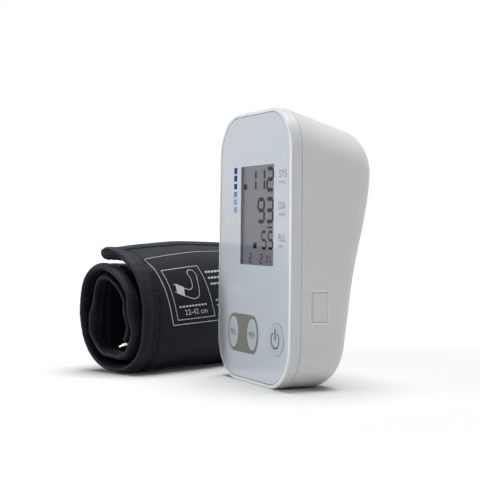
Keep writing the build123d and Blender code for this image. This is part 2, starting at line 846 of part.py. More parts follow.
spring_parts = []
for cell_x, nub_up in cell_places:
    direction = 1 if nub_up else -1
    foot_z = cell_middle_z - direction * ((bay_high - bay_low) / 2 - contact_thickness - spring_wire_radius)
    with BuildPart() as cell_spring:
        with BuildLine() as coil:
            Helix(
                spring_pitch,
                spring_height - 2 * spring_wire_radius,
                spring_radius,
                center=(cell_x, cell_y, foot_z),
                direction=(0, 0, direction),
                cone_angle=spring_taper,
            )
        with BuildSketch(Plane(origin=coil.line @ 0, z_dir=coil.line % 0)):
            Circle(spring_wire_radius)
        sweep(path=coil.line, is_frenet=True)
    spring_parts.append(cell_spring.part)
with BuildPart() as cell_springs:
    for spring_part in spring_parts:
        add(spring_part)
cell_springs.part.label = "cell_springs"
export_step(cell_springs.part, "parts/cell_springs.step")


# Case screws, driven from the back wells into the front bosses
with BuildPart() as case_screws:
    with BuildSketch(front_plane(boss_meet_depth + boss_floor)):
        with Locations(*case_screw_places):
            Circle(case_screw_head_radius)
    extrude(amount=-case_screw_head_height)
    with BuildSketch(front_plane(boss_meet_depth + boss_floor)):
        with Locations(*case_screw_places):
            Circle(case_screw_radius)
    extrude(amount=boss_floor + case_screw_length - 1.0)
    with BuildSketch(front_plane(boss_meet_depth + boss_floor + case_screw_head_height)):
        with Locations(*case_screw_places):
            Rectangle(2.6, 0.6)
            Rectangle(0.6, 2.6)
    extrude(amount=1.0, mode=Mode.SUBTRACT)
case_screws.part.label = "case_screws"
export_step(case_screws.part, "parts/case_screws.step")


# Speaker: steel basket on its seat ring, cone and magnet
speaker_axis = Axis((0, 0, speaker_z), (0, 1, 0))
speaker_rim_depth = speaker_seat_depth - speaker_rim_height
speaker_back_depth = speaker_seat_depth - speaker_total_height + magnet_height
with BuildPart() as speaker_frame:
    with BuildSketch(Plane(origin=(0, -base_centre_depth, speaker_z), x_dir=(1, 0, 0), z_dir=(0, 0, 1))):
        with BuildLine():
            Polyline(
                (magnet_radius - 3.0, speaker_back_depth),
                (magnet_radius + 2.0, speaker_back_depth),
                (speaker_radius - 2.4, speaker_rim_depth),
                (speaker_radius, speaker_rim_depth),
                (speaker_radius, speaker_seat_depth),
                (speaker_radius - 3.4, speaker_seat_depth),
                (speaker_radius - 3.4, speaker_rim_depth + 0.8),
                (magnet_radius + 1.4, speaker_back_depth + 0.8),
                (magnet_radius - 3.0, speaker_back_depth + 0.8),
                close=True,
            )
        make_face()
    revolve(axis=speaker_axis)
speaker_frame.part.label = "speaker_frame"
export_step(speaker_frame.part, "parts/speaker_frame.step")

with BuildPart() as speaker_cone:
    with BuildSketch(Plane(origin=(0, -base_centre_depth, speaker_z), x_dir=(1, 0, 0), z_dir=(0, 0, 1))):
        with BuildLine():
            edge_radius = speaker_radius - 3.4 - fit_gap
            front = speaker_seat_depth
            coil = speaker_back_depth
            rim = Line((edge_radius, front - 0.9), (edge_radius, front - 1.3))
            under = ThreePointArc(rim @ 1, (edge_radius - 1.3, front - 0.5), (edge_radius - 2.5, front - 1.6))
            slope = Line(under @ 1, (4.2, coil + 1.6))
            former_out = Polyline(slope @ 1, (4.2, coil + 0.4), (3.4, coil + 0.4))
            former = Polyline(former_out @ 1, (3.4, coil + 1.6), (0, coil + 1.6))
            centre = Line(former @ 1, (0, coil + 3.4))
            dome = ThreePointArc(centre @ 1, (2.4, coil + 3.1), (4.4, coil + 2.2))
            cone_line = Line(dome @ 1, (edge_radius - 2.6, front - 1.0))
            over = ThreePointArc(cone_line @ 1, (edge_radius - 1.3, front - 0.1), rim @ 0)
        make_face()
    revolve(axis=speaker_axis)
speaker_cone.part.label = "speaker_cone"
export_step(speaker_cone.part, "parts/speaker_cone.step")

with BuildPart() as speaker_magnet:
    with BuildSketch(front_plane(speaker_back_depth - magnet_height)):
        with Locations((0, speaker_z)):
            Circle(magnet_radius)
    extrude(amount=-magnet_height)
    fillet(speaker_magnet.edges().sort_by(Axis.Y)[0], 0.5)
speaker_magnet.part.label = "speaker_magnet"
export_step(speaker_magnet.part, "parts/speaker_magnet.step")


# Pump: head with its outlet below, motor can with a bearing boss, and foam pads in the cradle
pump_joint_x = pump_left_x + pump_head_length
with BuildPart() as pump_head:
    with BuildSketch(side_plane(pump_left_x)):
        with Locations((pump_depth, pump_z)):
            Circle(pump_radius)
    extrude(amount=pump_head_length)
    fillet(pump_head.faces().sort_by(Axis.X)[0].edges(), 1.0)
    with BuildSketch(side_plane(pump_groove_x)):
        with Locations((pump_depth, pump_z)):
            Circle(pump_radius + 1.0)
            Circle(pump_radius - 0.8, mode=Mode.SUBTRACT)
    extrude(amount=1.2, mode=Mode.SUBTRACT)
    with BuildSketch(Plane(origin=(air_x, pump_depth - base_centre_depth, pump_z), z_dir=(0, 0, -1))):
        Circle(nipple_radius)
    extrude(amount=pump_radius + nipple_length)
    with BuildSketch(Plane(origin=(air_x, pump_depth - base_centre_depth, pump_z), z_dir=(0, 0, -1))):
        Circle(nipple_bore)
    extrude(amount=pump_radius + nipple_length, mode=Mode.SUBTRACT)
pump_head.part.label = "pump_head"
export_step(pump_head.part, "parts/pump_head.step")

with BuildPart() as pump_motor:
    with BuildSketch(side_plane(pump_joint_x)):
        with Locations((pump_depth, pump_z)):
            Circle(pump_radius)
    extrude(amount=pump_motor_length)
    fillet(pump_motor.faces().sort_by(Axis.X)[-1].edges(), 1.5)
    with BuildSketch(side_plane(pump_joint_x + pump_motor_length)):
        with Locations((pump_depth, pump_z)):
            Circle(pump_boss_radius)
    extrude(amount=pump_boss_length)
pump_motor.part.label = "pump_motor"
export_step(pump_motor.part, "parts/pump_motor.step")

with BuildPart() as pump_pads:
    for rib_x in cradle_rib_places:
        with BuildSketch(side_plane(rib_x - cradle_rib_thickness)):
            with Locations((pump_depth, pump_z)):
                Circle(pump_radius + pump_pad_thickness - fit_gap)
                Circle(pump_radius + fit_gap, mode=Mode.SUBTRACT)
            with Locations((pump_depth - pump_radius, pump_z)):
                Rectangle(2 * pump_radius, 4 * pump_radius, mode=Mode.SUBTRACT)
        extrude(amount=2 * cradle_rib_thickness)
pump_pads.part.label = "pump_pads"
export_step(pump_pads.part, "parts/pump_pads.step")


# Air manifold: four nipples, to the pump above, the socket below, the valve beside and the sensor in front
air_y = pump_depth - base_centre_depth
socket_y = socket_depth - base_centre_depth
with BuildPart() as air_manifold:
    with BuildSketch(Plane.XY.offset(air_z - manifold_half_length)):
        with Locations((air_x, air_y)):
            Circle(manifold_radius)
    extrude(amount=2 * manifold_half_length)
    with BuildSketch(Plane.XY.offset(air_z - manifold_half_length - nipple_length)):
        with Locations((air_x, air_y)):
            Circle(nipple_radius)
    extrude(amount=2 * (manifold_half_length + nipple_length))
    with BuildSketch(side_plane(air_x)):
        with Locations((pump_depth, air_z)):
            Circle(nipple_radius)
    extrude(amount=manifold_radius + nipple_length - 1.0)
    with BuildSketch(front_plane(pump_depth)):
        with Locations((air_x, air_z)):
            Circle(nipple_radius)
    extrude(amount=manifold_radius + nipple_length)
    with BuildSketch(Plane.XY.offset(air_z - manifold_half_length - nipple_length)):
        with Locations((air_x, air_y)):
            Circle(nipple_bore)
    extrude(amount=2 * (manifold_half_length + nipple_length), mode=Mode.SUBTRACT)
air_manifold.part.label = "air_manifold"
export_step(air_manifold.part, "parts/air_manifold.step")

with BuildPart() as release_valve:
    with BuildSketch(front_plane(board_back_depth)):
        with Locations((valve_x, air_z)):
            Circle(valve_radius)
    extrude(amount=-(valve_back_depth - board_back_depth))
    with BuildSketch(front_plane(valve_back_depth)):
        with Locations((valve_x, air_z)):
            Rectangle(2 * valve_radius + 2.0, 2 * valve_radius - 3.0)
    extrude(amount=-1.2)
    with BuildSketch(side_plane(valve_x)):
        with Locations((pump_depth, air_z)):
            Circle(nipple_radius)
    extrude(amount=-(valve_radius + nipple_length - 1.0))
release_valve.part.label = "release_valve"
export_step(release_valve.part, "parts/release_valve.step")

with BuildPart() as pressure_sensor:
    with BuildSketch(front_plane(board_back_depth)):
        with Locations((air_x, air_z)):
            Rectangle(sensor_size, sensor_size)
    extrude(amount=-sensor_height)
    with BuildSketch(front_plane(board_back_depth + sensor_height)):
        with Locations((air_x, air_z)):
            Circle(nipple_radius)
    extrude(amount=-nipple_length)
pressure_sensor.part.label = "pressure_sensor"
export_step(pressure_sensor.part, "parts/pressure_sensor.step")

sensor_top_y = board_back_depth + sensor_height - base_centre_depth
tube_runs = {
    "pump_tube": (
        (air_x, air_y, air_z + manifold_half_length + tube_end_gap),
        (air_x, air_y, pump_z - pump_radius - tube_end_gap),
    ),
    "valve_tube": (
        (air_x + manifold_radius + tube_end_gap, air_y, air_z),
        (valve_x - valve_radius - tube_end_gap, air_y, air_z),
    ),
    "sensor_tube": (
        (air_x, sensor_top_y + tube_end_gap, air_z),
        (air_x, air_y - manifold_radius - tube_end_gap, air_z),
    ),
}
for tube_name, (start, finish) in tube_runs.items():
    run = Vector(*finish) - Vector(*start)
    with BuildPart() as tube:
        with BuildSketch(Plane(origin=start, z_dir=run)):
            Circle(tube_radius)
            Circle(nipple_radius + tube_gap, mode=Mode.SUBTRACT)
        extrude(amount=run.length)
    tube.part.label = tube_name
    export_step(tube.part, "parts/" + tube_name + ".step")

socket_tube_level = air_z - manifold_half_length - nipple_length - tube_bend_radius
with BuildPart() as socket_tube:
    with BuildLine() as socket_route:
        FilletPolyline(
            (air_x, air_y, air_z - manifold_half_length - tube_end_gap),
            (air_x, air_y, socket_tube_level),
            (socket_nipple_x, socket_y, socket_tube_level),
            (socket_nipple_x, socket_y, socket_z + socket_radius + tube_end_gap),
            radius=tube_bend_radius,
        )
    with BuildSketch(Plane(origin=socket_route.line @ 0, z_dir=socket_route.line % 0)):
        Circle(tube_radius)
        Circle(nipple_radius + tube_gap, mode=Mode.SUBTRACT)
    sweep(path=socket_route.line)
socket_tube.part.label = "socket_tube"
export_step(socket_tube.part, "parts/socket_tube.step")


# Air socket: a bore through the left wall, a flange inside it and an upward nipple for the tube
socket_mouth_x = -case_width / 2 + 0.3
with BuildPart() as air_socket:
    with BuildSketch(side_plane(socket_mouth_x)):
        with Locations((socket_depth, socket_z)):
            Circle(socket_radius)
    extrude(amount=socket_inner_x - socket_mouth_x)
    with BuildSketch(side_plane(socket_pad_x)):
        with Locations((socket_depth, socket_z)):
            Circle(socket_flange_radius)
    extrude(amount=socket_flange_thickness)
    with BuildSketch(Plane.XY.offset(socket_z)):
        with Locations((socket_nipple_x, socket_y)):
            Circle(nipple_radius)
    extrude(amount=socket_radius + nipple_length)
    with BuildSketch(side_plane(socket_mouth_x)):
        with Locations((socket_depth, socket_z)):
            Circle(socket_bore_radius)
    extrude(amount=socket_bore_length, mode=Mode.SUBTRACT)
    with BuildSketch(Plane.XY.offset(socket_z)):
        with Locations((socket_nipple_x, socket_y)):
            Circle(nipple_bore)
    extrude(amount=socket_radius + nipple_length, mode=Mode.SUBTRACT)
air_socket.part.label = "air_socket"
export_step(air_socket.part, "parts/air_socket.step")


# Jack behind the right wall, and the small door that covers it
jack_front_x = case_width / 2 - door_pocket_depth - jack_pad_thickness
with BuildPart() as dc_jack:
    with BuildSketch(side_plane(jack_front_x)):
        with Locations(((board_back_depth + door_middle_depth + jack_body_width / 2) / 2, door_middle_z)):
            Rectangle(door_middle_depth + jack_body_width / 2 - board_back_depth, jack_body_height)
    extrude(amount=-jack_body_length)
    with BuildSketch(side_plane(jack_front_x)):
        with Locations((door_middle_depth, door_middle_z)):
            Circle(jack_bore_radius)
            Circle(jack_pin_radius, mode=Mode.SUBTRACT)
    extrude(amount=-jack_bore_length, mode=Mode.SUBTRACT)
dc_jack.part.label = "dc_jack"
export_step(dc_jack.part, "parts/dc_jack.step")

with BuildPart() as door_shell:
    with BuildSketch(side_plane(case_width / 2 - door_gap - door_thickness)):
        with Locations(((door_hinge_depth + door_back_depth - door_gap) / 2, door_middle_z)):
            Rectangle(door_back_depth - door_gap - door_hinge_depth, door_high - door_low - 2 * door_gap)
    extrude(amount=2 * door_pocket_depth)
    add(outer_form, mode=Mode.INTERSECT)

with BuildPart() as jack_cover:
    add(door_shell.part)
    with BuildSketch(Plane.XY.offset(door_low + door_gap)):
        with Locations((door_hinge_x, door_hinge_depth - base_centre_depth)):
            Circle(door_barrel_radius)
    extrude(amount=door_high - door_low - 2 * door_gap)
    with BuildSketch(Plane.XY.offset(door_low - door_pin_length)):
        with Locations((door_hinge_x, door_hinge_depth - base_centre_depth)):
            Circle(door_pin_radius)
    extrude(amount=door_high - door_low + 2 * door_pin_length)
jack_cover.part.label = "jack_cover"
export_step(jack_cover.part, "parts/jack_cover.step")


# Rolled cuff: the band follows a spiral, drawn across the roll's axis
roll_y = roll_depth - base_centre_depth
roll_across = Vector(cos(radians(roll_turn)), sin(radians(roll_turn)), 0)
roll_along = Vector(-sin(radians(roll_turn)), cos(radians(roll_turn)), 0)


def roll_point(turn, inset):
    """Point of the spiral in the section: across the roll and up, at a turn counted from the outer tip."""
    angle = radians(roll_tip_angle) - 2 * pi * turn
    c = cos(angle)
    s = sin(angle)
    squared = abs(c / roll_half_width) ** roll_squareness + abs(s / roll_half_height) ** roll_squareness
    radius = squared ** (-1 / roll_squareness) - inset
    radius -= roll_pitch * max(turn - roll_pitch_start, 0.0)
    radius += flap_lift * max(1 - turn / flap_turns, 0.0) ** 1.5
    return (roll_centre + radius * c - roll_lean * radius * s, roll_centre_height + radius * s)


def roll_plane(along):
    """Plane across the roll at a distance along its axis, drawn across and up."""
    origin = Vector(roll_x, roll_y, 0) + roll_along * along
    return Plane(origin=origin, x_dir=roll_across, z_dir=-roll_along)


def near_edge_at(turn):
    """Distance along the axis of the band's near edge, which creeps as the band winds in."""
    creep = edge_shift * min(turn, edge_shift_turns)
    return near_edge - creep + edge_return * max(turn - edge_shift_turns, 0.0)


def band_section(start, end, outer_inset, inner_inset, along):
    """Face of the band between two turns and two depths in its thickness."""
    steps = max(3, round((end - start) * points_for_turn))
    turns = [start + (end - start) * k / steps for k in range(steps + 1)]
    outside = [roll_point(turn, outer_inset) for turn in turns]
    inside = [roll_point(turn, inner_inset) for turn in turns]
    with BuildSketch(roll_plane(along)) as section:
        with BuildLine():
            outer_line = Spline(*outside)
            inner_line = Spline(*inside)
            Line(outer_line @ 0, inner_line @ 0)
            Line(outer_line @ 1, inner_line @ 1)
        make_face()
    return section.sketch


bladder_low = near_edge_at(edge_shift_turns) + bladder_margin
bladder_high = bladder_low + cuff_width - 2 * bladder_margin
bladder_outer = (cuff_thickness - bladder_thickness) / 2
bladder_inner = bladder_outer + bladder_thickness
end_outer = Vector(*roll_point(roll_turns, 0.0))
end_inner = Vector(*roll_point(roll_turns, cuff_thickness))
end_middle = (end_outer + end_inner) * 0.5
end_tangent = (Vector(*roll_point(roll_turns + 0.01, 0.0)) - end_outer).normalized()
ring_bar = end_middle + end_tangent * (ring_sleeve_radius - 1.0)
ring_angle = atan2(end_tangent.Y, end_tangent.X) - radians(ring_tilt)
ring_low = near_edge_at(roll_turns) + ring_end_margin
ring_length = cuff_width - 2 * ring_end_margin
sleeve_low = near_edge_at(roll_turns) + ring_sleeve_margin
sleeve_length = cuff_width - 2 * ring_sleeve_margin
port_place = roll_point(port_turn, cuff_thickness / 2)
port_edge = near_edge_at(port_turn) + cuff_width


# Cuff cover: the long cloth band with a pocket for the bladder and a hem round the ring's bar
section_count = round(roll_turns / section_turn)
with BuildPart() as cuff_cover:
    for k in range(section_count):
        start = roll_turns * k / section_count
        end = roll_turns * (k + 1) / section_count
        along = near_edge_at((start + end) / 2)
        extrude(band_section(start, end, 0.0, cuff_thickness, along), amount=-cuff_width)
    for notch_low in (sleeve_low - 2 * ring_sleeve_margin, sleeve_low + sleeve_length):
        with BuildSketch(roll_plane(notch_low)):
            with Locations((ring_bar.X, ring_bar.Y)):
                Circle(ring_sleeve_radius + ring_notch_gap)
        extrude(amount=-2 * ring_sleeve_margin, mode=Mode.SUBTRACT)
    with BuildSketch(roll_plane(sleeve_low)):
        with Locations((ring_bar.X, ring_bar.Y)):
            Circle(ring_sleeve_radius)
    extrude(amount=-sleeve_length)
    with BuildSketch(roll_plane(sleeve_low)):
        with Locations((ring_bar.X, ring_bar.Y)):
            Circle(ring_wire_radius + ring_gap)
    extrude(amount=-sleeve_length, mode=Mode.SUBTRACT)
    extrude(
        band_section(
            bladder_start - bladder_end_gap,
            bladder_end + bladder_end_gap,
            bladder_outer - bladder_clearance,
            bladder_inner + bladder_clearance,
            bladder_low - bladder_clearance,
        ),
        amount=-(bladder_high - bladder_low + 2 * bladder_clearance),
        mode=Mode.SUBTRACT,
    )
    with BuildSketch(roll_plane(bladder_high)):
        with Locations(port_place):
            Circle(port_shank_radius + fit_gap)
    extrude(amount=-cuff_width, mode=Mode.SUBTRACT)
cuff_cover.part.label = "cuff_cover"
export_step(cuff_cover.part, "parts/cuff_cover.step")

with BuildPart() as cuff_bladder:
    extrude(
        band_section(bladder_start, bladder_end, bladder_outer, bladder_inner, bladder_low),
        amount=-(bladder_high - bladder_low),
    )
cuff_bladder.part.label = "cuff_bladder"
export_step(cuff_bladder.part, "parts/cuff_bladder.step")

with BuildPart() as cuff_port:
    with BuildSketch(roll_plane(bladder_high + bladder_clearance)):
        with Locations(port_place):
            Circle(port_shank_radius)
            Circle(port_bore_radius, mode=Mode.SUBTRACT)
    extrude(amount=-(port_edge + port_step - bladder_high - bladder_clearance))
    with BuildSketch(roll_plane(port_edge + port_step)):
        with Locations(port_place):
            Circle(port_radius)
            Circle(port_bore_radius, mode=Mode.SUBTRACT)
    extrude(amount=-port_stand)
cuff_port.part.label = "cuff_port"
export_step(cuff_port.part, "parts/cuff_port.step")

# Ring: a closed wire loop whose long bar lies in the hem
ring_reach = roll_across * cos(ring_angle) + Vector(0, 0, 1) * sin(ring_angle)
ring_plane = Plane(
    origin=roll_plane(ring_low + ring_wire_radius).from_local_coords((ring_bar.X, ring_bar.Y, 0)),
    x_dir=roll_along,
    z_dir=roll_along.cross(ring_reach),
)
with BuildPart() as cuff_ring:
    with BuildSketch(ring_plane) as ring_outline:
        with Locations((ring_length / 2 - ring_wire_radius, ring_span / 2)):
            RectangleRounded(ring_length - 2 * ring_wire_radius, ring_span, ring_corner)
    ring_route = ring_outline.sketch.wire()
    with BuildSketch(Plane(origin=ring_route @ 0, z_dir=ring_route % 0)) as ring_wire:
        Circle(ring_wire_radius)
    sweep(ring_wire.sketch, path=ring_route)
cuff_ring.part.label = "cuff_ring"
export_step(cuff_ring.part, "parts/cuff_ring.step")
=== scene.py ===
"""Looks of the talking blood pressure monitor and its rolled arm cuff.

Metres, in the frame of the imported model: +X is to the right as one faces the display, +Y is to the back and
+Z is up. New pieces are surfaces worked out with numpy, and each rides on the body that carries it.
"""

import bpy
import numpy as np
from mathutils import Matrix, Vector


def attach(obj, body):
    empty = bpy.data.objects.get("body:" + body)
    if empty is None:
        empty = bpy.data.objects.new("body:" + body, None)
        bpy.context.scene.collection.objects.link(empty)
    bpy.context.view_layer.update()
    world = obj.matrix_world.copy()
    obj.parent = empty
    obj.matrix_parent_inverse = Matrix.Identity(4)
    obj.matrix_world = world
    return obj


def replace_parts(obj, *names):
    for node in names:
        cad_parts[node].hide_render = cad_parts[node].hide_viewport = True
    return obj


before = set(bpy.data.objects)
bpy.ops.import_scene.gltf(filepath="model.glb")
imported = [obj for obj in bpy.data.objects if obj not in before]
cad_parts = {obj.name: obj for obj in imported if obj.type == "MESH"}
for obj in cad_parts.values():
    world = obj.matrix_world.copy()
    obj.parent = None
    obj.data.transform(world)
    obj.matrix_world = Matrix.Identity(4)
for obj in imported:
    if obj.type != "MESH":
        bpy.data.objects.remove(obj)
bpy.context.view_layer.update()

MM = 0.001

# Camera, fitted to the photograph
VIEW_TURN = np.radians(64.5)
VIEW_HEIGHT = np.radians(0.40)
VIEW_ROLL = np.radians(0.67)
VIEW_DISTANCE = 633.7 * MM
VIEW_TARGET = Vector((-16.08 * MM, -12.0 * MM, 78.91 * MM))
FOCAL_PIXELS = 1125.0
PICTURE_PIXELS = 480.0
SENSOR_WIDTH = 36.0
CLIP_RANGE = (0.01, 50.0)

# Monitor's front, as in the part's source
BASE_CENTRE_DEPTH = 12.0 * MM
PANEL_DEPTH = 0.2 * MM
KEY_FACE_DEPTH = -0.3 * MM
DISPLAY_DEPTH = 1.8 * MM
INK_LIFT = 0.03 * MM

# Wound cuff, as in the part's source
ROLL_TURNED = np.radians(24.0)
ROLL_X = -50.0 * MM
ROLL_Y = -72.9 * MM
ROLL_CENTRE = -17.0 * MM
ROLL_CENTRE_HEIGHT = 33.694 * MM
ROLL_HALF_WIDTH = 28.0 * MM
ROLL_HALF_HEIGHT = 34.0 * MM
ROLL_SQUARENESS = 2.3
ROLL_LEAN = 0.12
ROLL_PITCH = 7.0 * MM
PITCH_START = 0.45
TIP_ANGLE = np.radians(92.0)
ROLL_TURNS = 2.42
CUFF_WIDTH = 145.0 * MM
CUFF_THICKNESS = 4.6 * MM
NEAR_EDGE = 15.0 * MM
EDGE_SHIFT = 8.0 * MM
EDGE_SHIFT_TURNS = 0.9
EDGE_RETURN = 3.0 * MM
BLADDER_TURNS = (0.75, 2.05)
BLADDER_THICKNESS = 1.4 * MM
BLADDER_MARGIN = 9.0 * MM

# Hem round the ring's bar
HEM_RADIUS = 3.0 * MM
HEM_BORE = 1.6 * MM
HEM_MARGIN = 8.0 * MM
HEM_OVERLAP = 1.0 * MM

# Height that no cloth goes below, and how far the cloth lies within the winding
LOWEST_CLOTH = 0.2 * MM
SURFACE_INSET = 0.35 * MM

# Loose end of the cuff, which stands highest in the middle of its width
FLAP_TURNS = 0.3
FLAP_LIFT_NEAR = 5.0 * MM
FLAP_LIFT_MIDDLE = 9.6 * MM
CORNER_FLARE = 6.0 * MM
CORNER_TURNS = 0.045
CORNER_REACH = 40.0 * MM
EDGE_PRESS = 0.42
EDGE_PRESS_REACH = 15.0 * MM

# Folds of the inner layers, which grow from a turn on and stop before the inner end
FOLD_HEIGHT = 4.0 * MM
FOLD_START = 0.42
FOLD_GROWTH = 0.9
FOLD_STOP = 0.06
FOLD_FADE = 0.2
FOLD_REST = 0.11
FOLD_REACH = 100.0 * MM
FOLD_LOSS = 0.8
FOLD_DRIFT = 0.25
FOLD_DRIFT_WAVE = 110.0 * MM
WIDE_FOLDS = 3
NARROW_FOLDS = 5
FOLD_MIDDLE = 0.75

# Waves of the cloth, by their length across the width
SLOW_WAVE = 71.0 * MM
SLOW_WAVE_HEIGHT = 0.35 * MM
SHORT_WAVE = 33.0 * MM
SHORT_WAVE_HEIGHT = 0.12 * MM

# Cloth details
TAPE_WIDTH = 6.2 * MM
TAPE_THICKNESS = 0.8 * MM
TAPE_GROOVE = 0.45 * MM
TAPE_GROOVE_HALF_WIDTH = 0.7 * MM
TAPE_CROWN = 0.14 * MM
TAPE_TUCK = 0.7 * MM
TAPE_PINCH = 0.12 * MM
TAPE_START = 0.004
SEAM_PLACES = (5.2 * MM, 10.8 * MM)
SEAM_DENT = 0.95 * MM
SEAM_HALF_WIDTH = 0.85 * MM
GATHER_PITCH = 9.0 * MM
GATHER_PLACE = 12.2 * MM
GATHER_REACH = 3.5 * MM
GATHER_DEPTH = 0.28 * MM
STITCH_PITCH = 2.6 * MM
STITCH_LENGTH = 1.9 * MM
STITCH_RADIUS = 0.22 * MM
STITCH_POINTS = 5
STITCH_SIDES = 6
STITCH_SINK = 0.25 * MM
SEAM_SINK = 0.4 * MM
SEAM_START = 2.0 * MM

# Length of a middling turn, and how finely each piece follows the winding, closer in the band's border
TURN_LENGTH = 190.0 * MM
BAND_ROWS = 380
BORDER = 16.0 * MM
BORDER_POINTS = 40
MIDDLE_POINTS = 42
BEND_POINTS = 10
TAPE_ROWS = 420
TAPE_POINTS = 14
BLADDER_ROWS = 240
BLADDER_COLUMNS = 60
END_ROWS = 90
HEM_SIDES = 32
HEM_ROWS = 40

ACROSS = np.array([np.cos(ROLL_TURNED), np.sin(ROLL_TURNED)])
ALONG = np.array([-np.sin(ROLL_TURNED), np.cos(ROLL_TURNED)])


def placed(name, data):
    """Object that holds some data, put in the scene."""
    made = bpy.data.objects.new(name, data)
    bpy.context.scene.collection.objects.link(made)
    return made


def set_camera():
    """Camera at the photograph's direction: it looks at the target from a turn about the vertical."""
    back = Vector((
        np.sin(VIEW_TURN) * np.cos(VIEW_HEIGHT),
        -np.cos(VIEW_TURN) * np.cos(VIEW_HEIGHT),
        np.sin(VIEW_HEIGHT),
    ))
    right = Vector((0, 0, 1)).cross(back).normalized()
    up = back.cross(right)
    turned = Matrix((right, up, back)).transposed().to_4x4() @ Matrix.Rotation(VIEW_ROLL, 4, "Z")
    data = bpy.data.cameras.new("camera")
    data.sensor_width = SENSOR_WIDTH
    data.lens = FOCAL_PIXELS / PICTURE_PIXELS * SENSOR_WIDTH
    data.clip_start, data.clip_end = CLIP_RANGE
    camera = placed("camera", data)
    camera.matrix_world = Matrix.Translation(VIEW_TARGET + back * VIEW_DISTANCE) @ turned
    bpy.context.scene.camera = camera


set_camera()


# Materials

# Sockets of the Mix node's two colours and of its mixed colour, and the range that a noise mostly keeps to
MIX_FIRST = 6
MIX_SECOND = 7
MIX_RESULT = 2
NOISE_RANGE = (0.3, 0.7)

# Cloth: scale at which the wave texture has one wave a unit, and the patches and fibres in a metre
ONE_WAVE = 0.32
PATCHES = (45.0, 45.0, 1.0)
FIBRES = (900.0, 900.0, 1.0)


def written(red, green, blue):
    """Linear colour of one written from 0 to 255: a power of 2.4, and a straight line below its toe."""
    value = np.array([red, green, blue]) / 255.0
    linear = np.where(value <= 0.04045, value / 12.92, ((value + 0.055) / 1.055) ** 2.4)
    return (float(linear[0]), float(linear[1]), float(linear[2]), 1.0)


def add_node(tree, kind, sockets=None, **properties):
    """New node of a kind, with its properties, and with constants on its sockets."""
    made = tree.nodes.new(kind)
    for key, value in properties.items():
        setattr(made, key, value)
    for socket, value in (sockets or {}).items():
        made.inputs[socket].default_value = value
    return made


class Finish:
    """A material with its node tree, its shader and short ways to add nodes to it."""

    def __init__(self, name):
        self.material = bpy.data.materials.new(name)
        self.material.use_nodes = True
        self.tree = self.material.node_tree
        self.shader = self.tree.nodes["Principled BSDF"]
        self.bump_height = None

    def node(self, kind, sockets=None, **properties):
        """New node in the material."""
        return add_node(self.tree, kind, sockets, **properties)

    def link(self, out, into):
        """Joins an output to an input."""
        self.tree.links.new(out, into)

    def set(self, **values):
        """Sets the shader's own sockets, whose names are written with _ for a space."""
        for key, value in values.items():
            self.shader.inputs[key.replace("_", " ")].default_value = value

    def coordinates(self, kind="Object", scale=(1.0, 1.0, 1.0)):
        """Coordinates of a kind, scaled."""
        source = self.node("ShaderNodeTexCoord")
        mapping = self.node("ShaderNodeMapping", {"Scale": scale})
        self.link(source.outputs[kind], mapping.inputs["Vector"])
        return mapping.outputs["Vector"]

    def noise(self, vector, scale, detail=3.0, roughness=0.5):
        """Noise over coordinates, about 0.5."""
        sockets = {"Scale": scale, "Detail": detail, "Roughness": roughness}
        made = self.node("ShaderNodeTexNoise", sockets)
        self.link(vector, made.inputs["Vector"])
        return made.outputs["Fac"]

    def spread(self, value, low, high, into=None):
        """Takes the middle range of a noise to low and high."""
        least, most = NOISE_RANGE
        sockets = {"From Min": least, "From Max": most, "To Min": low, "To Max": high}
        made = self.node("ShaderNodeMapRange", sockets)
        self.link(value, made.inputs["Value"])
        if into:
            self.link(made.outputs["Result"], self.shader.inputs[into])
        return made.outputs["Result"]

    def two_colours(self, factor, first, second):
        """Base colour between two colours."""
        made = self.node("ShaderNodeMix", {MIX_FIRST: first, MIX_SECOND: second}, data_type="RGBA")
        self.link(factor, made.inputs["Factor"])
        self.link(made.outputs[MIX_RESULT], self.shader.inputs["Base Color"])

    def bump(self, height, distance, strength=1.0):
        """Bump from a height, on top of any that is there already."""
        made = self.node("ShaderNodeBump", {"Strength": strength, "Distance": distance})
        self.link(height, made.inputs["Height"])
        if self.bump_height:
            self.link(self.bump_height, made.inputs["Normal"])
        self.bump_height = made.outputs["Normal"]
        self.link(self.bump_height, self.shader.inputs["Normal"])


def shade(colour, by):
    """The colour with its three channels scaled."""
    return (colour[0] * by, colour[1] * by, colour[2] * by, 1.0)


def moulded(name, colour, roughness=0.4, grain=4000.0, depth=0.02 * MM, coat=0.0, mottle=0.04):
    """Moulded plastic: even colour with a slight mottle and a fine moulding grain."""
    made = Finish(name)
    place = made.coordinates()
    made.two_colours(made.noise(place, 60.0), shade(colour, 1 - mottle), shade(colour, 1 + mottle))
    made.spread(made.noise(place, 35.0), roughness - 0.04, roughness + 0.04, "Roughness")
    made.bump(made.noise(place, grain, 2.0), depth, 0.35)
    made.set(Coat_Weight=coat, Coat_Roughness=0.08, Specular_IOR_Level=0.5)
    return made.material


def metal(name, colour, roughness, scratch=(300.0, 300.0, 3000.0)):
    """Drawn or rolled metal: fine lines across one direction in its roughness and surface."""
    made = Finish(name)
    lines = made.noise(made.coordinates(scale=scratch), 1.0, 4.0)
    made.two_colours(lines, shade(colour, 0.92), shade(colour, 1.05))
    made.spread(lines, roughness - 0.06, roughness + 0.08, "Roughness")
    made.bump(lines, 0.01 * MM, 0.3)
    made.set(Metallic=1.0)
    return made.material


def soft_rubber(name, colour, roughness=0.7):
    """Rubber: dull, with a fine even tooth."""
    made = Finish(name)
    place = made.coordinates()
    made.two_colours(made.noise(place, 150.0), shade(colour, 0.9), shade(colour, 1.1))
    made.spread(made.noise(place, 500.0), roughness - 0.08, roughness + 0.08, "Roughness")
    made.bump(made.noise(place, 2500.0, 2.0), 0.03 * MM, 0.4)
    return made.material


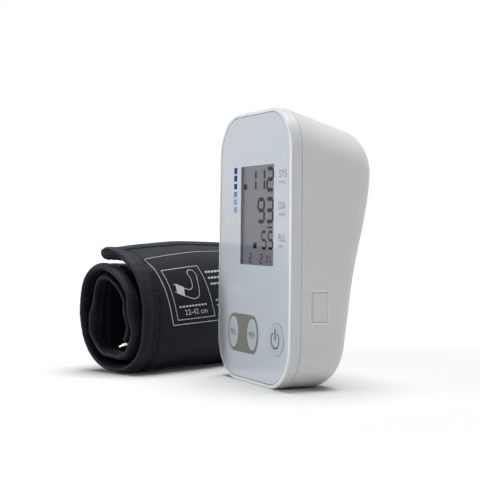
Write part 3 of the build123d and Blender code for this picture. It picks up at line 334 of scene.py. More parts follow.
def printed(name, colour):
    """Dull printed ink, with a slight unevenness of tone and a fine tooth."""
    made = Finish(name)
    place = made.coordinates()
    made.two_colours(made.noise(place, 400.0), shade(colour, 0.94), shade(colour, 1.06))
    made.spread(made.noise(place, 900.0), 0.62, 0.74, "Roughness")
    made.bump(made.noise(place, 3000.0, 2.0), 0.01 * MM, 0.3)
    made.set(Specular_IOR_Level=0.12)
    return made.material


def woven(name, dark, light, pitch, depth, sheen, grain):
    """Close weave along the cloth's two directions: two crossed sets of waves, in its form and its tone."""
    made = Finish(name)
    place = made.coordinates("UV", (1.0 / pitch, 1.0 / pitch, 1.0))
    heights = []
    for direction in ("X", "Y"):
        sockets = {"Scale": ONE_WAVE, "Distortion": 0.35, "Detail": 1.0}
        wave = made.node("ShaderNodeTexWave", sockets, wave_type="BANDS", bands_direction=direction)
        made.link(place, wave.inputs["Vector"])
        heights.append(wave.outputs["Fac"])
    both = made.node("ShaderNodeMath", operation="MULTIPLY")
    made.link(heights[0], both.inputs[0])
    made.link(heights[1], both.inputs[1])
    patches = made.noise(made.coordinates("UV", PATCHES), 1.0, 5.0, 0.6)
    tone = made.node("ShaderNodeMath", {1: grain}, operation="MULTIPLY_ADD")
    made.link(both.outputs[0], tone.inputs[0])
    made.link(made.spread(patches, 0.0, 1.0 - grain), tone.inputs[2])
    made.two_colours(tone.outputs[0], dark, light)
    made.spread(patches, 0.48, 0.62, "Roughness")
    made.bump(both.outputs[0], depth, 0.6)
    made.bump(made.noise(made.coordinates("UV", FIBRES), 1.0, 3.0), 0.06 * MM, 0.5)
    made.set(Sheen_Weight=sheen, Sheen_Roughness=0.5, Specular_IOR_Level=0.21)
    made.set(Specular_Tint=(0.76, 0.86, 1.0, 1.0))
    return made.material


def circuit_board(name):
    """Green solder mask with fine straight tracks under it."""
    made = Finish(name)
    place = made.coordinates(scale=(180.0, 180.0, 180.0))
    bricks = made.node("ShaderNodeTexBrick", {
        "Scale": 1.0,
        "Mortar Size": 0.06,
        "Color1": written(20, 92, 52),
        "Color2": written(24, 100, 58),
        "Mortar": written(44, 130, 74),
    })
    turned = made.node("ShaderNodeMapping", {"Rotation": (np.pi / 2, 0, 0)})
    made.link(place, turned.inputs["Vector"])
    made.link(turned.outputs["Vector"], bricks.inputs["Vector"])
    made.link(bricks.outputs["Color"], made.shader.inputs["Base Color"])
    made.bump(bricks.outputs["Fac"], 0.03 * MM, 0.5)
    made.set(Roughness=0.3)
    return made.material


def clear_lens(name):
    """Tinted clear lens: lets most light straight through, with a faint reflection that grows at a slant."""
    made = Finish(name)
    place = made.coordinates()
    made.spread(made.noise(place, 25.0), 0.03, 0.07, "Roughness")
    made.bump(made.noise(place, 12.0), 0.05 * MM, 0.1)
    made.set(Base_Color=(0.01, 0.01, 0.012, 1.0), Alpha=0.22, Specular_IOR_Level=0.5, IOR=2.0)
    return made.material


def jacket(name):
    """Cell jacket: a printed band round each can, with a bare metal end."""
    made = Finish(name)
    place = made.coordinates()
    split = made.node("ShaderNodeSeparateXYZ")
    made.link(place, split.inputs["Vector"])
    band = made.node("ShaderNodeMath", {1: CELL_BAND_HEIGHT}, operation="GREATER_THAN")
    made.link(split.outputs["Z"], band.inputs[0])
    made.two_colours(band.outputs[0], written(44, 78, 140), written(196, 200, 206))
    made.spread(made.noise(place, 120.0), 0.22, 0.32, "Roughness")
    made.bump(made.noise(place, 700.0), 0.02 * MM, 0.2)
    made.set(Metallic=0.4)
    return made.material


def display_glass(name, colour):
    """Display: grey polariser with a slow change of tone and a slight silk."""
    made = Finish(name)
    place = made.coordinates()
    made.two_colours(made.noise(place, 9.0, 1.0), shade(colour, 0.94), shade(colour, 1.05))
    made.spread(made.noise(place, 300.0), 0.30, 0.38, "Roughness")
    made.bump(made.noise(place, 5000.0), 0.01 * MM, 0.2)
    return made.material


CELL_BAND_HEIGHT = 60.0 * MM

case_plastic = moulded("case_plastic", written(226, 227, 229), 0.36, coat=0.15, mottle=0.012)
# Painted highlight: the lip round the jack opening is lighter and glossier than the case it is moulded in
painted_highlight_lip = moulded("painted_highlight_lip", written(246, 246, 247), 0.3, coat=0.3, mottle=0.01)
panel_plastic = moulded(
    "panel_plastic", written(196, 203, 211), 0.16, depth=0.006 * MM, coat=0.25, mottle=0.02
)
surround_plastic = moulded("surround_plastic", written(124, 126, 117), 0.38)
key_plastic = moulded("key_plastic", written(182, 188, 197), 0.32, coat=0.2, mottle=0.02)
frame_plastic = moulded("frame_plastic", written(205, 205, 208), 0.5)
black_plastic = moulded("black_plastic", written(34, 34, 37), 0.45)
red_plastic = moulded("red_plastic", written(150, 58, 50), 0.45)
pump_plastic = moulded("pump_plastic", written(58, 59, 63), 0.5)
socket_plastic = moulded("socket_plastic", written(88, 92, 100), 0.42)
lens = clear_lens("clear_lens")
display_finish = display_glass("display_finish", written(182, 181, 194))
seal_rubber = soft_rubber("seal_rubber", written(120, 120, 126))
foot_rubber = soft_rubber("foot_rubber", written(176, 178, 184))
tube_rubber = soft_rubber("tube_rubber", written(214, 211, 202), 0.45)
pad_foam = soft_rubber("pad_foam", written(52, 52, 54), 0.9)
bladder_rubber = soft_rubber("bladder_rubber", written(70, 71, 76), 0.6)
board_finish = circuit_board("board_finish")
bright_steel = metal("bright_steel", written(196, 198, 202), 0.3)
plated_wire = metal("plated_wire", written(226, 226, 222), 0.12, (800.0, 800.0, 800.0))
dark_magnet = metal("dark_magnet", written(92, 92, 95), 0.45)
cell_jacket = jacket("cell_jacket")
cone_paper = soft_rubber("cone_paper", written(46, 46, 50), 0.85)
cuff_cloth = woven("cuff_cloth", written(7, 11, 18), written(18, 23, 33), 0.55 * MM, 0.10 * MM, 0.02, 0.4)
cuff_tape = woven("cuff_tape", written(3, 5, 9), written(42, 46, 55), 1.1 * MM, 0.2 * MM, 0.02, 0.75)
# Stitch thread: its own dark colour, lifted lighter than the cloth as a painted highlight along the seams
thread_and_seam_highlight = soft_rubber("thread_and_seam_highlight", written(33, 37, 45), 0.6)
print_white = soft_rubber("print_white", written(216, 218, 222), 0.6)
print_grey = soft_rubber("print_grey", written(112, 114, 124), 0.5)
key_print = soft_rubber("key_print", written(66, 70, 80), 0.5)
segment_ink = printed("segment_ink", written(12, 13, 22))
level_dark = printed("level_dark", written(6, 62, 128))
level_middle = printed("level_middle", written(100, 130, 184))
level_pale = printed("level_pale", written(134, 154, 200))

NODE_FINISHES = {
    "front_cover": case_plastic,
    "rear_housing": case_plastic,
    "battery_cover": case_plastic,
    "jack_cover": case_plastic,
    "front_panel": panel_plastic,
    "display_window": lens,
    "key_surround": surround_plastic,
    "display": display_finish,
    "display_frame": frame_plastic,
    "display_connector": seal_rubber,
    "main_board": board_finish,
    "board_chips": black_plastic,
    "board_screws": bright_steel,
    "case_screws": bright_steel,
    "cell_contacts": bright_steel,
    "cell_springs": bright_steel,
    "speaker_frame": bright_steel,
    "speaker_cone": cone_paper,
    "speaker_magnet": dark_magnet,
    "pump_head": pump_plastic,
    "pump_motor": bright_steel,
    "pump_pads": pad_foam,
    "air_manifold": pump_plastic,
    "release_valve": bright_steel,
    "pressure_sensor": black_plastic,
    "air_socket": socket_plastic,
    "dc_jack": black_plastic,
    "cuff_bladder": bladder_rubber,
    "cuff_port": black_plastic,
    "cuff_ring": plated_wire,
}
for key in ("program", "memory", "power"):
    NODE_FINISHES[key + "_key"] = key_plastic
    NODE_FINISHES[key + "_switch"] = black_plastic
    NODE_FINISHES[key + "_switch_button"] = red_plastic
for corner in ("lower_left", "lower_right", "upper_left", "upper_right"):
    NODE_FINISHES[corner + "_foot"] = foot_rubber
for cell in range(1, 5):
    NODE_FINISHES["cell_" + str(cell)] = cell_jacket
for tube in ("pump", "valve", "sensor", "socket"):
    NODE_FINISHES[tube + "_tube"] = tube_rubber

for node_name, finish in NODE_FINISHES.items():
    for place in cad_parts[node_name].material_slots:
        place.material = finish


# Meshes


def add_mesh(name, points, faces, finish, body, uv=None, smooth=True):
    """Piece from points and faces that rides on a body. uv holds one pair for each point."""
    mesh = bpy.data.meshes.new(name)
    mesh.from_pydata(points.tolist(), [], faces.tolist() if isinstance(faces, np.ndarray) else faces)
    if uv is not None:
        corners = np.empty(len(mesh.loops), dtype=np.int32)
        mesh.loops.foreach_get("vertex_index", corners)
        layer = mesh.uv_layers.new(name="cloth")
        layer.data.foreach_set("uv", np.asarray(uv, dtype=np.float32)[corners].ravel())
    mesh.polygons.foreach_set("use_smooth", np.full(len(mesh.polygons), smooth))
    mesh.materials.append(finish)
    mesh.update()
    piece = placed(name, mesh)
    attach(piece, body)
    return piece


def grid_faces(rows, columns, close_columns=False):
    """Quads between neighbouring points of a grid, joined round its columns where asked."""
    here = np.arange(rows - 1)[:, None] * columns
    below = here + columns
    column = np.arange(columns if close_columns else columns - 1)
    after = (column + 1) % columns
    quads = [here + column, below + column, below + after, here + after]
    return np.stack(quads, axis=-1).reshape(-1, 4)


# Lip round the jack cover's opening, in a lighter and glossier finish than the case: a painted highlight
# along the opening's edges. The right wall leans a little from front to back
LIP_CENTRE = (44.85 * MM, 5.45 * MM, 44.55 * MM)
LIP_HALF_SIZE = (5.1 * MM, 8.1 * MM)
LIP_CORNER = 0.7 * MM
LIP_WIDTH = 0.7 * MM
LIP_STAND = 0.22 * MM
LIP_ROOT = 0.1 * MM
LIP_ROWS = ((0.0, 0.0), (0.15, 1.0), (0.85, 1.0), (1.0, 0.0))
LIP_POINTS = 64
WALL_SLOPE = -0.0107


def raised_lip():
    """Lip in the right side: a rounded frame whose four rows step out of the wall, over and back in."""
    x, y, z = LIP_CENTRE
    angle = np.linspace(0, 2 * np.pi, LIP_POINTS + 1)[:-1]
    quarter = np.floor(angle / (np.pi / 2) + 1e-9)
    side_y = np.where((quarter == 0) | (quarter == 3), 1.0, -1.0)
    side_z = np.where(quarter < 2, 1.0, -1.0)
    rows = []
    for outward, forward in LIP_ROWS:
        reach = LIP_CORNER + outward * LIP_WIDTH
        across = y + side_y * (LIP_HALF_SIZE[0] - LIP_CORNER) + reach * np.cos(angle)
        up = z + side_z * (LIP_HALF_SIZE[1] - LIP_CORNER) + reach * np.sin(angle)
        out = x + WALL_SLOPE * (across - y) - LIP_ROOT + forward * (LIP_STAND + LIP_ROOT)
        rows.append(np.stack([out, across, up], axis=-1))
    faces = grid_faces(len(rows), len(angle), close_columns=True)
    add_mesh("jack_opening_lip", np.concatenate(rows), faces, painted_highlight_lip, "monitor")


raised_lip()


# Cuff: places in turns from the loose end, distances from the near edge and depths below the outer face

def roll_section(turn, inset, raised):
    """Across and up of the winding. Its radius is a squashed circle's, less the inset and a pitch a turn."""
    angle = TIP_ANGLE - 2 * np.pi * turn
    cosine = np.cos(angle)
    sine = np.sin(angle)
    wide = np.abs(cosine / ROLL_HALF_WIDTH) ** ROLL_SQUARENESS
    high = np.abs(sine / ROLL_HALF_HEIGHT) ** ROLL_SQUARENESS
    radius = (wide + high) ** (-1 / ROLL_SQUARENESS) - inset + raised
    radius = radius - ROLL_PITCH * np.maximum(turn - PITCH_START, 0.0)
    return ROLL_CENTRE + radius * cosine - ROLL_LEAN * radius * sine, ROLL_CENTRE_HEIGHT + radius * sine


def near_edge_at(turn):
    """Where the near edge lies along the roll: it creeps outwards for most of a turn, then back in."""
    creep = EDGE_SHIFT * np.minimum(turn, EDGE_SHIFT_TURNS)
    return NEAR_EDGE - creep + EDGE_RETURN * np.maximum(turn - EDGE_SHIFT_TURNS, 0.0)


def corner_flare(turn, across_width):
    """Spread of the loose end's near corner beyond the edge: a round nose along it, a wedge across it."""
    along_end = np.maximum(1 - (turn / CORNER_TURNS) ** 2, 0.0)
    return CORNER_FLARE * along_end * np.maximum(1 - across_width / CORNER_REACH, 0.0)


def flap_lift(turn, across_width):
    """Raise of the loose end: most in the middle of its width, and gone after a third of a turn."""
    share = np.clip(across_width / CUFF_WIDTH, 0.0, 1.0)
    crown = FLAP_LIFT_NEAR + (FLAP_LIFT_MIDDLE - FLAP_LIFT_NEAR) * np.sin(np.pi * share) ** 0.7
    return crown * np.maximum(1 - turn / FLAP_TURNS, 0.0) ** 1.5


def ripple(turn, across_width):
    """Slow waves of the cloth, crossed in two directions, and short gathers beside the inner seam."""
    angle = 2 * np.pi * turn
    slow = np.sin(2 * np.pi * across_width / SLOW_WAVE + 1.3 * angle) * np.sin(2.1 * angle + 0.8)
    short = np.sin(2 * np.pi * across_width / SHORT_WAVE - 2.2 * angle + 1.0) * np.sin(5.3 * angle)
    gathers = np.sin(2 * np.pi * (turn * TURN_LENGTH / GATHER_PITCH + 0.25 * np.sin(3.1 * angle)))
    by_seam = np.exp(-(((edge_distance(across_width) - GATHER_PLACE) / GATHER_REACH) ** 2))
    return SLOW_WAVE_HEIGHT * slow + SHORT_WAVE_HEIGHT * short + GATHER_DEPTH * gathers * by_seam


def folds(turn, across_width):
    """Folds of the inner layers: two folded sine waves, so flats with a crease between.

    They repeat at each turn, so that the layers nest. They fade towards the outer layer, towards the hem and
    in the layer round it, and across the width they fall to a fifth.
    """
    share = np.clip((turn - FOLD_START) / FOLD_GROWTH, 0.0, 1.0)
    share = share * np.clip((ROLL_TURNS - FOLD_STOP - turn) / FOLD_FADE, 0.0, 1.0)
    share = share * (1 - np.exp(-(((turn - ROLL_TURNS + 1) / FOLD_REST) ** 2)))
    share = share * (1 - FOLD_LOSS * np.clip(across_width / FOLD_REACH, 0.0, 1.0))
    drift = FOLD_DRIFT * np.sin(2 * np.pi * across_width / FOLD_DRIFT_WAVE)
    wide = np.abs(np.sin(np.pi * (WIDE_FOLDS * turn + drift)))
    narrow = np.abs(np.sin(np.pi * (NARROW_FOLDS * turn - drift) + 0.7))
    return FOLD_HEIGHT * share * (wide + narrow / 2 - FOLD_MIDDLE)


def edge_distance(across_width):
    """Distance to the nearer edge of the band."""
    return np.minimum(across_width, CUFF_WIDTH - across_width)


def roll_point(across, along, up):
    """Points of the frame at an across, an along and a height of the roll, which stands turned."""
    x = ROLL_X + ACROSS[0] * across + ALONG[0] * along
    y = ROLL_Y + ACROSS[1] * across + ALONG[1] * along
    return np.stack([x, y, up], axis=-1)


def cuff_place(turn, across_width, inset):
    """Points of the wound band at a turn, a distance from its near edge and a depth below its outer face."""
    turn, across_width, inset = np.broadcast_arrays(turn, across_width, inset)
    middle = CUFF_THICKNESS / 2
    press = EDGE_PRESS * np.clip(1 - edge_distance(across_width) / EDGE_PRESS_REACH, 0.0, 1.0)
    press = press * np.clip(turn / CORNER_TURNS - 0.5, 0.0, 1.0)
    pressed = middle + (inset - middle) * (1 - press)
    depth = pressed + ripple(turn, across_width) + folds(turn, across_width) + SURFACE_INSET
    across, up = roll_section(turn, depth, flap_lift(turn, across_width))
    along = near_edge_at(turn) + across_width - corner_flare(turn, across_width)
    return roll_point(across, along, np.maximum(up, LOWEST_CLOTH))


def seam_dent(turn, across_width):
    """Dent along each seam, a bell curve across it, with puckers that follow the stitches."""
    distance = edge_distance(across_width)
    dent = sum(np.exp(-(((distance - place) / SEAM_HALF_WIDTH) ** 2)) for place in SEAM_PLACES)
    pucker = 1 + 0.5 * np.sin(2 * np.pi * turn * TURN_LENGTH / (3 * STITCH_PITCH))
    return SEAM_DENT * dent * pucker


def band_profile():
    """Closed outline of the band's thickness, finer near its edges than in its middle.

    It goes across the outer face, round the far edge, back across the inner face and round the near edge.
    Side is 1 on the outer face, -1 on the inner face and 0 on the edges.
    """
    half = CUFF_THICKNESS / 2
    near = np.linspace(half, BORDER, BORDER_POINTS)
    middle = np.linspace(BORDER, CUFF_WIDTH - BORDER, MIDDLE_POINTS)[1:-1]
    outer = np.concatenate([near, middle, CUFF_WIDTH - near[::-1]])
    bend = np.linspace(0, np.pi, BEND_POINTS)[1:-1]
    far_across = CUFF_WIDTH - half + half * np.sin(bend)
    far_inset = half - half * np.cos(bend)
    across = np.concatenate([outer, far_across, outer[::-1], CUFF_WIDTH - far_across])
    inset = np.concatenate([
        np.zeros(len(outer)),
        far_inset,
        np.full(len(outer), CUFF_THICKNESS),
        far_inset[::-1],
    ])
    side = np.concatenate([
        np.ones(len(outer)),
        np.zeros(len(far_across)),
        -np.ones(len(outer)),
        np.zeros(len(far_across)),
    ])
    return across, inset, side


def closed_ends(rows, columns, start):
    """Triangles that close a tube's first and last row on two centre points, numbered from start."""
    column = np.arange(columns)
    after = (column + 1) % columns
    last = (rows - 1) * columns
    first_cap = np.stack([np.full(columns, start), column, after], axis=-1)
    last_cap = np.stack([np.full(columns, start + 1), last + after, last + column], axis=-1)
    return np.concatenate([first_cap, last_cap])


def add_tube(name, places, finish, uv):
    """Tube over a grid of places whose columns close on themselves, with both ends closed."""
    rows, columns = places.shape[:2]
    ends = places[[0, -1]].mean(axis=1)
    points = np.concatenate([places.reshape(-1, 3), ends])
    pairs = np.concatenate([uv.reshape(-1, 2), uv[[0, -1]].mean(axis=1)])
    faces = grid_faces(rows, columns, close_columns=True)
    caps = closed_ends(rows, columns, rows * columns)
    split = np.concatenate([faces[:, [0, 1, 2]], faces[:, [0, 2, 3]], caps])
    return add_mesh(name, points, split, finish, "cuff", pairs)


def cloth_pairs(first, second):
    """Pairs of lengths along the cloth's two directions, for its weave."""
    return np.stack(np.broadcast_arrays(first, second), axis=-1)


def run_length(across, up):
    """Length along a line of points, from its first."""
    return np.cumsum(np.hypot(np.diff(across, prepend=across[0]), np.diff(up, prepend=up[0])))


def cuff_band():
    """The band: its outline carried along the winding, dented at the seams on both faces."""
    across, inset, side = band_profile()
    turn = np.linspace(0.0, ROLL_TURNS, BAND_ROWS)[:, None]
    places = cuff_place(turn, across, inset + seam_dent(turn, across) * side)
    return add_tube("cuff_band", places, cuff_cloth, cloth_pairs(turn * TURN_LENGTH, across + inset / 2))


def cuff_bladder():
    """Flat bladder in the band's pocket: a thin outline with round edges, carried along the winding."""
    half = BLADDER_THICKNESS / 2
    width = CUFF_WIDTH - 2 * BLADDER_MARGIN
    flat = np.linspace(half, width - half, BLADDER_COLUMNS)
    bend = np.linspace(0, np.pi, 8)[1:-1]
    far = width - half + half * np.sin(bend)
    place = np.concatenate([flat, far, flat[::-1], width - far])
    level = np.full(BLADDER_COLUMNS, half)
    depth = np.concatenate([-level, -half * np.cos(bend), level, half * np.cos(bend)])
    turn = np.linspace(BLADDER_TURNS[0], BLADDER_TURNS[1], BLADDER_ROWS)[:, None]
    across = near_edge_at(EDGE_SHIFT_TURNS) + BLADDER_MARGIN - near_edge_at(turn) + place
    places = cuff_place(turn, across, CUFF_THICKNESS / 2 + depth)
    return add_tube("flat_bladder", places, bladder_rubber, cloth_pairs(turn * TURN_LENGTH, across))


def tape_profile():
    """Closed outline of the binding: down the outer face, round the edge, up the inner one and back inside.

    The faces swell by half a sine and have a groove, a bell curve across it, under the first seam.
    """
    half = CUFF_THICKNESS / 2
    reach = half + TAPE_THICKNESS
    straight = np.linspace(TAPE_WIDTH, half, TAPE_POINTS)
    bend = np.linspace(0, np.pi, TAPE_POINTS)[1:-1]
    swell = TAPE_CROWN * np.sin(np.linspace(0, np.pi, TAPE_POINTS))
    groove = TAPE_GROOVE * np.exp(-(((straight - SEAM_PLACES[0]) / TAPE_GROOVE_HALF_WIDTH) ** 2))
    stand = TAPE_THICKNESS + swell - groove
    round_edge = half - reach * np.sin(bend)
    distance = np.concatenate([straight, round_edge, straight[::-1], [TAPE_WIDTH, TAPE_WIDTH]])
    inset = np.concatenate([
        -stand,
        half - reach * np.cos(bend),
        CUFF_THICKNESS + stand[::-1],
        [CUFF_THICKNESS - TAPE_TUCK, TAPE_TUCK],
    ])
    return distance, inset


def edge_binding(name, far):
    """Tape round the near or far edge, its outline carried along the winding."""
    distance, inset = tape_profile()
    turn = np.linspace(TAPE_START, ROLL_TURNS - TAPE_START, TAPE_ROWS)[:, None]
    across = CUFF_WIDTH - distance if far else distance
    pinch = TAPE_PINCH * np.sin(np.pi * turn * TURN_LENGTH / STITCH_PITCH)
    places = cuff_place(turn, across, inset + pinch * np.sign(inset))
    if far:
        places = places[:, ::-1]
    uv = cloth_pairs(turn * TURN_LENGTH, run_length(distance, inset))
    return add_tube(name, places, cuff_tape, uv)


def end_binding():
    """Tape round the loose end, its outline carried across the width."""
    distance, inset = tape_profile()
    across = np.linspace(0.0, CUFF_WIDTH, END_ROWS)[:, None]
    places = cuff_place(distance / TURN_LENGTH, across, inset)[:, ::-1]
    uv = cloth_pairs(across, run_length(distance, inset))
    return add_tube("loose_end_binding", places, cuff_tape, uv)


def unit(vectors):
    """Vectors of length one in the same directions."""
    return vectors / np.linalg.norm(vectors, axis=-1, keepdims=True)


def stitch_row(name, turn, across, inset, outward):
    """Row of stitches, each a short bead: rings round a line, which swell by a sine along its length."""
    here = cuff_place(turn, across, inset)
    ahead = cuff_place(turn + 0.002, across, inset)
    out = cuff_place(turn, across, inset - 0.5 * MM)
    tangent = unit(ahead - here)
    normal = unit(out - here) * outward
    side = unit(np.cross(tangent, normal))
    along = np.linspace(0, 1, STITCH_POINTS)[:, None]
    ring = np.linspace(0, 2 * np.pi, STITCH_SIDES + 1)[:-1]
    swell = STITCH_RADIUS * np.sin(np.pi * np.clip(along, 0.06, 0.94))
    bead = np.broadcast_arrays((along - 0.5) * STITCH_LENGTH, swell * np.cos(ring), swell * np.sin(ring))
    bead = np.stack(bead, axis=-1).reshape(-1, 3)
    axes = np.stack([tangent, side, normal], axis=1)
    points = here[:, None, :] + np.einsum("pk,nkc->npc", bead, axes)
    faces = grid_faces(STITCH_POINTS, STITCH_SIDES, close_columns=True)
    every = (faces + np.arange(len(here))[:, None, None] * len(bead)).reshape(-1, 4)
    add_mesh(name, points.reshape(-1, 3), every, thread_and_seam_highlight, "cuff")


def seam_turns():
    """Turns of the stitches along an edge, one at each pitch of length."""
    fine = np.linspace(0.01, ROLL_TURNS - 0.01, 4000)
    across, up = roll_section(fine, CUFF_THICKNESS / 2, flap_lift(fine, 0.0))
    length = run_length(across, up)
    return np.interp(np.arange(SEAM_START, length[-1], STITCH_PITCH), length, fine)


def cuff_stitching():
    """Two rows along each edge on the outer face and two on the inner face."""
    turns = seam_turns()
    for edge in ("near", "far"):
        for number, place in enumerate(SEAM_PLACES, 1):
            lift = TAPE_THICKNESS - STITCH_SINK if place < TAPE_WIDTH else -SEAM_SINK
            across = CUFF_WIDTH - place if edge == "far" else place
            stitch_row(edge + "_outer_stitches_" + str(number), turns, across, -lift, 1)
            stitch_row(edge + "_inner_stitches_" + str(number), turns, across, CUFF_THICKNESS + lift, -1)


def hem():
    """Hem round the ring's bar: a thick tube along the inner end, a circle carried along the roll's axis.

    It goes along outside, and back along its bore.
    """
    outer = np.array(roll_section(ROLL_TURNS, 0.0, 0.0))
    inner = np.array(roll_section(ROLL_TURNS, CUFF_THICKNESS, 0.0))
    ahead = np.array(roll_section(ROLL_TURNS + 0.01, 0.0, 0.0))
    centre = (outer + inner) / 2 + unit(ahead - outer) * (HEM_RADIUS - HEM_OVERLAP)
    angle = np.linspace(0, 2 * np.pi, HEM_SIDES + 1)[:-1]
    start = near_edge_at(ROLL_TURNS) + HEM_MARGIN
    run = np.linspace(start, start + CUFF_WIDTH - 2 * HEM_MARGIN, HEM_ROWS)
    along = np.concatenate([run, run[::-1], run[:1]])[:, None]
    radius = np.repeat([HEM_RADIUS, HEM_BORE, HEM_RADIUS], [HEM_ROWS, HEM_ROWS, 1])[:, None]
    across = centre[0] + radius * np.cos(angle)
    up = centre[1] + radius * np.sin(angle)
    points = roll_point(across, along, up).reshape(-1, 3)
    uv = cloth_pairs(along, radius * angle).reshape(-1, 2)
    faces = grid_faces(len(along), len(angle), close_columns=True)
    add_mesh("ring_hem", points, faces, cuff_tape, "cuff", uv)


band = cuff_band()
edge_binding("near_binding", False)
edge_binding("far_binding", True)
end_binding()
cuff_stitching()
hem()
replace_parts(band, "cuff_cover")
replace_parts(cuff_bladder(), "cuff_bladder")


# Prints on the monitor, laid out in millimetres across and up its front

def font_mesh(words):
    """Flat points and faces of words in the built-in type."""
    curve = bpy.data.curves.new("words", "FONT")
    curve.body = words
    made = placed("words", curve)
    bpy.context.view_layer.update()
    mesh = bpy.data.meshes.new_from_object(made.evaluated_get(bpy.context.evaluated_depsgraph_get()))
    points = np.empty(len(mesh.vertices) * 3, dtype=np.float32)
    mesh.vertices.foreach_get("co", points)
    points = points.reshape(-1, 3)[:, :2].astype(float)
    faces = [list(face.vertices) for face in mesh.polygons]
    bpy.data.objects.remove(made)
    return points, faces


def fitted(points, box):
    """Flat points stretched to fill a box, given by its left, base, width and height."""
    low = points.min(axis=0)
    size = points.max(axis=0) - low
    return (points - low) / size * np.array(box[2:]) + np.array(box[:2])


def on_front(points, depth):
    """Flat points in millimetres, across and up, laid as ink on a front plane at a depth."""
    across, up = points.T * MM
    return np.stack([across, np.full(len(points), depth - INK_LIFT - BASE_CENTRE_DEPTH), up], axis=-1)


def front_words(name, words, box, depth, finish, body="monitor"):
    """Printed words on a front plane, filling a box in millimetres."""
    points, faces = font_mesh(words)
    add_mesh(name, on_front(fitted(points, box), depth), faces, finish, body, smooth=False)


def front_shapes(name, outlines, depth, finish, body="monitor"):
    """Flat filled outlines on a front plane, each given by its corners in order, in millimetres."""
    faces = []
    start = 0
    for outline in outlines:
        faces.append(list(range(start, start + len(outline))))
        start += len(outline)
    add_mesh(name, on_front(np.concatenate(outlines), depth), faces, finish, body, smooth=False)


def box_outline(left, base, width, height):
    """Corners of an upright box, anticlockwise."""
    right = left + width
    top = base + height
    return np.array([(left, base), (right, base), (right, top), (left, top)])


# Bars of the display's figures. The letters go round from the top bar, and g is the middle bar
SEGMENTS = {"1": "bc", "2": "abged", "3": "abgcd", "5": "afgcd", "9": "abfgcd"}
SEGMENT_GAP = 0.12


def digit_outlines(digit, left, base, width, height, stroke):
    """Outlines of a seven-bar figure: each bar a long hexagon with pointed ends."""
    half = stroke / 2
    low = base + half
    middle = base + height / 2
    high = base + height - half
    near = left + half
    far = left + width - half
    bars = {
        "a": ((near, high), (far, high)),
        "b": ((far, middle), (far, high)),
        "c": ((far, low), (far, middle)),
        "d": ((near, low), (far, low)),
        "e": ((near, low), (near, middle)),
        "f": ((near, middle), (near, high)),
        "g": ((near, middle), (far, middle)),
    }
    outlines = []
    for letter in SEGMENTS[digit]:
        start, finish = np.array(bars[letter])
        direction = unit(finish - start)
        side = np.array([direction[1], -direction[0]])
        start = start + direction * SEGMENT_GAP
        finish = finish - direction * SEGMENT_GAP
        outlines.append([
            start,
            start + (direction + side) * half,
            finish + (side - direction) * half,
            finish,
            finish - (direction + side) * half,
            start + (direction - side) * half,
        ])
    return outlines


# Figures on the display: digits, the left side of each, and their base, width, height and stroke
READINGS = (
    ("systolic_figures", "112", (-8.7, 1.8, 12.3), 105.2, 9.4, 13.6, 2.2),
    ("diastolic_figures", "93", (1.8, 12.3), 88.2, 9.4, 14.2, 2.1),
    ("pulse_figures", "55", (7.0, 14.8), 74.0, 6.5, 10.4, 1.5),
    ("date_figures", "2211", (-7.8, 5.6, 11.2, 15.2), 66.3, 3.2, 5.4, 0.8),
)
for name, digits, lefts, *measures in READINGS:
    outlines = []
    for digit, left in zip(digits, lefts):
        outlines += digit_outlines(digit, left, *measures)
    front_shapes(name, outlines, DISPLAY_DEPTH, segment_ink)

# Small marks on the display, the last two the dots of its clock
DISPLAY_MARKS = (
    (-15.4, 107.1, 4.2, 3.1),
    (-2.9, 74.5, 4.3, 3.2),
    (13.8, 85.6, 6.4, 0.9),
    (15.1, 66.9, 0.8, 0.8),
    (15.1, 69.6, 0.8, 0.8),
)
marks = [box_outline(*box) for box in DISPLAY_MARKS]
front_shapes("display_marks", marks, DISPLAY_DEPTH, segment_ink)

LABELS = (
    ("systolic_label", "SYS", (30.4, 112.2, 8.6, 4.1)),
    ("systolic_unit", "mmHg", (30.4, 108.6, 6.9, 2.3)),
    ("diastolic_label", "DIA", (30.4, 95.5, 7.6, 4.1)),
    ("diastolic_unit", "mmHg", (30.4, 91.6, 6.9, 2.3)),
    ("pulse_label", "PUL", (30.4, 78.5, 8.2, 4.0)),
    ("pulse_unit", "/min", (30.4, 75.1, 5.4, 2.3)),
)
for name, words, box in LABELS:
    front_words(name, words, box, PANEL_DEPTH, print_grey)

# Level bars at the panel's left side, from the top: base, height and colour
LEVEL_LEFT = -25.0
LEVEL_WIDTH = 4.0
LEVEL_BARS = (
    (116.3, 3.5, level_dark),
    (112.0, 3.4, level_dark),
    (107.6, 3.2, level_dark),
    (103.2, 3.1, level_middle),
    (98.7, 3.2, level_pale),
    (94.4, 3.2, level_pale),
)
for number, (base, height, finish) in enumerate(LEVEL_BARS, 1):
    bar = box_outline(LEVEL_LEFT, base, LEVEL_WIDTH, height)
    front_shapes("level_bar_" + str(number), [bar], PANEL_DEPTH, finish)

front_words("program_legend", "PRG", (-26.2, 25.1, 6.4, 3.4), KEY_FACE_DEPTH, key_print, "program_key")
front_words("memory_legend", "MEM", (-2.6, 25.1, 6.8, 3.4), KEY_FACE_DEPTH, key_print, "memory_key")

POWER_CENTRE = np.array([28.9, 26.5])
POWER_RADII = (4.88, 3.92)
POWER_OPENING = np.radians(36.0)
POWER_BAR = (28.2, 26.4, 1.4, 5.8)
POWER_POINTS = 60


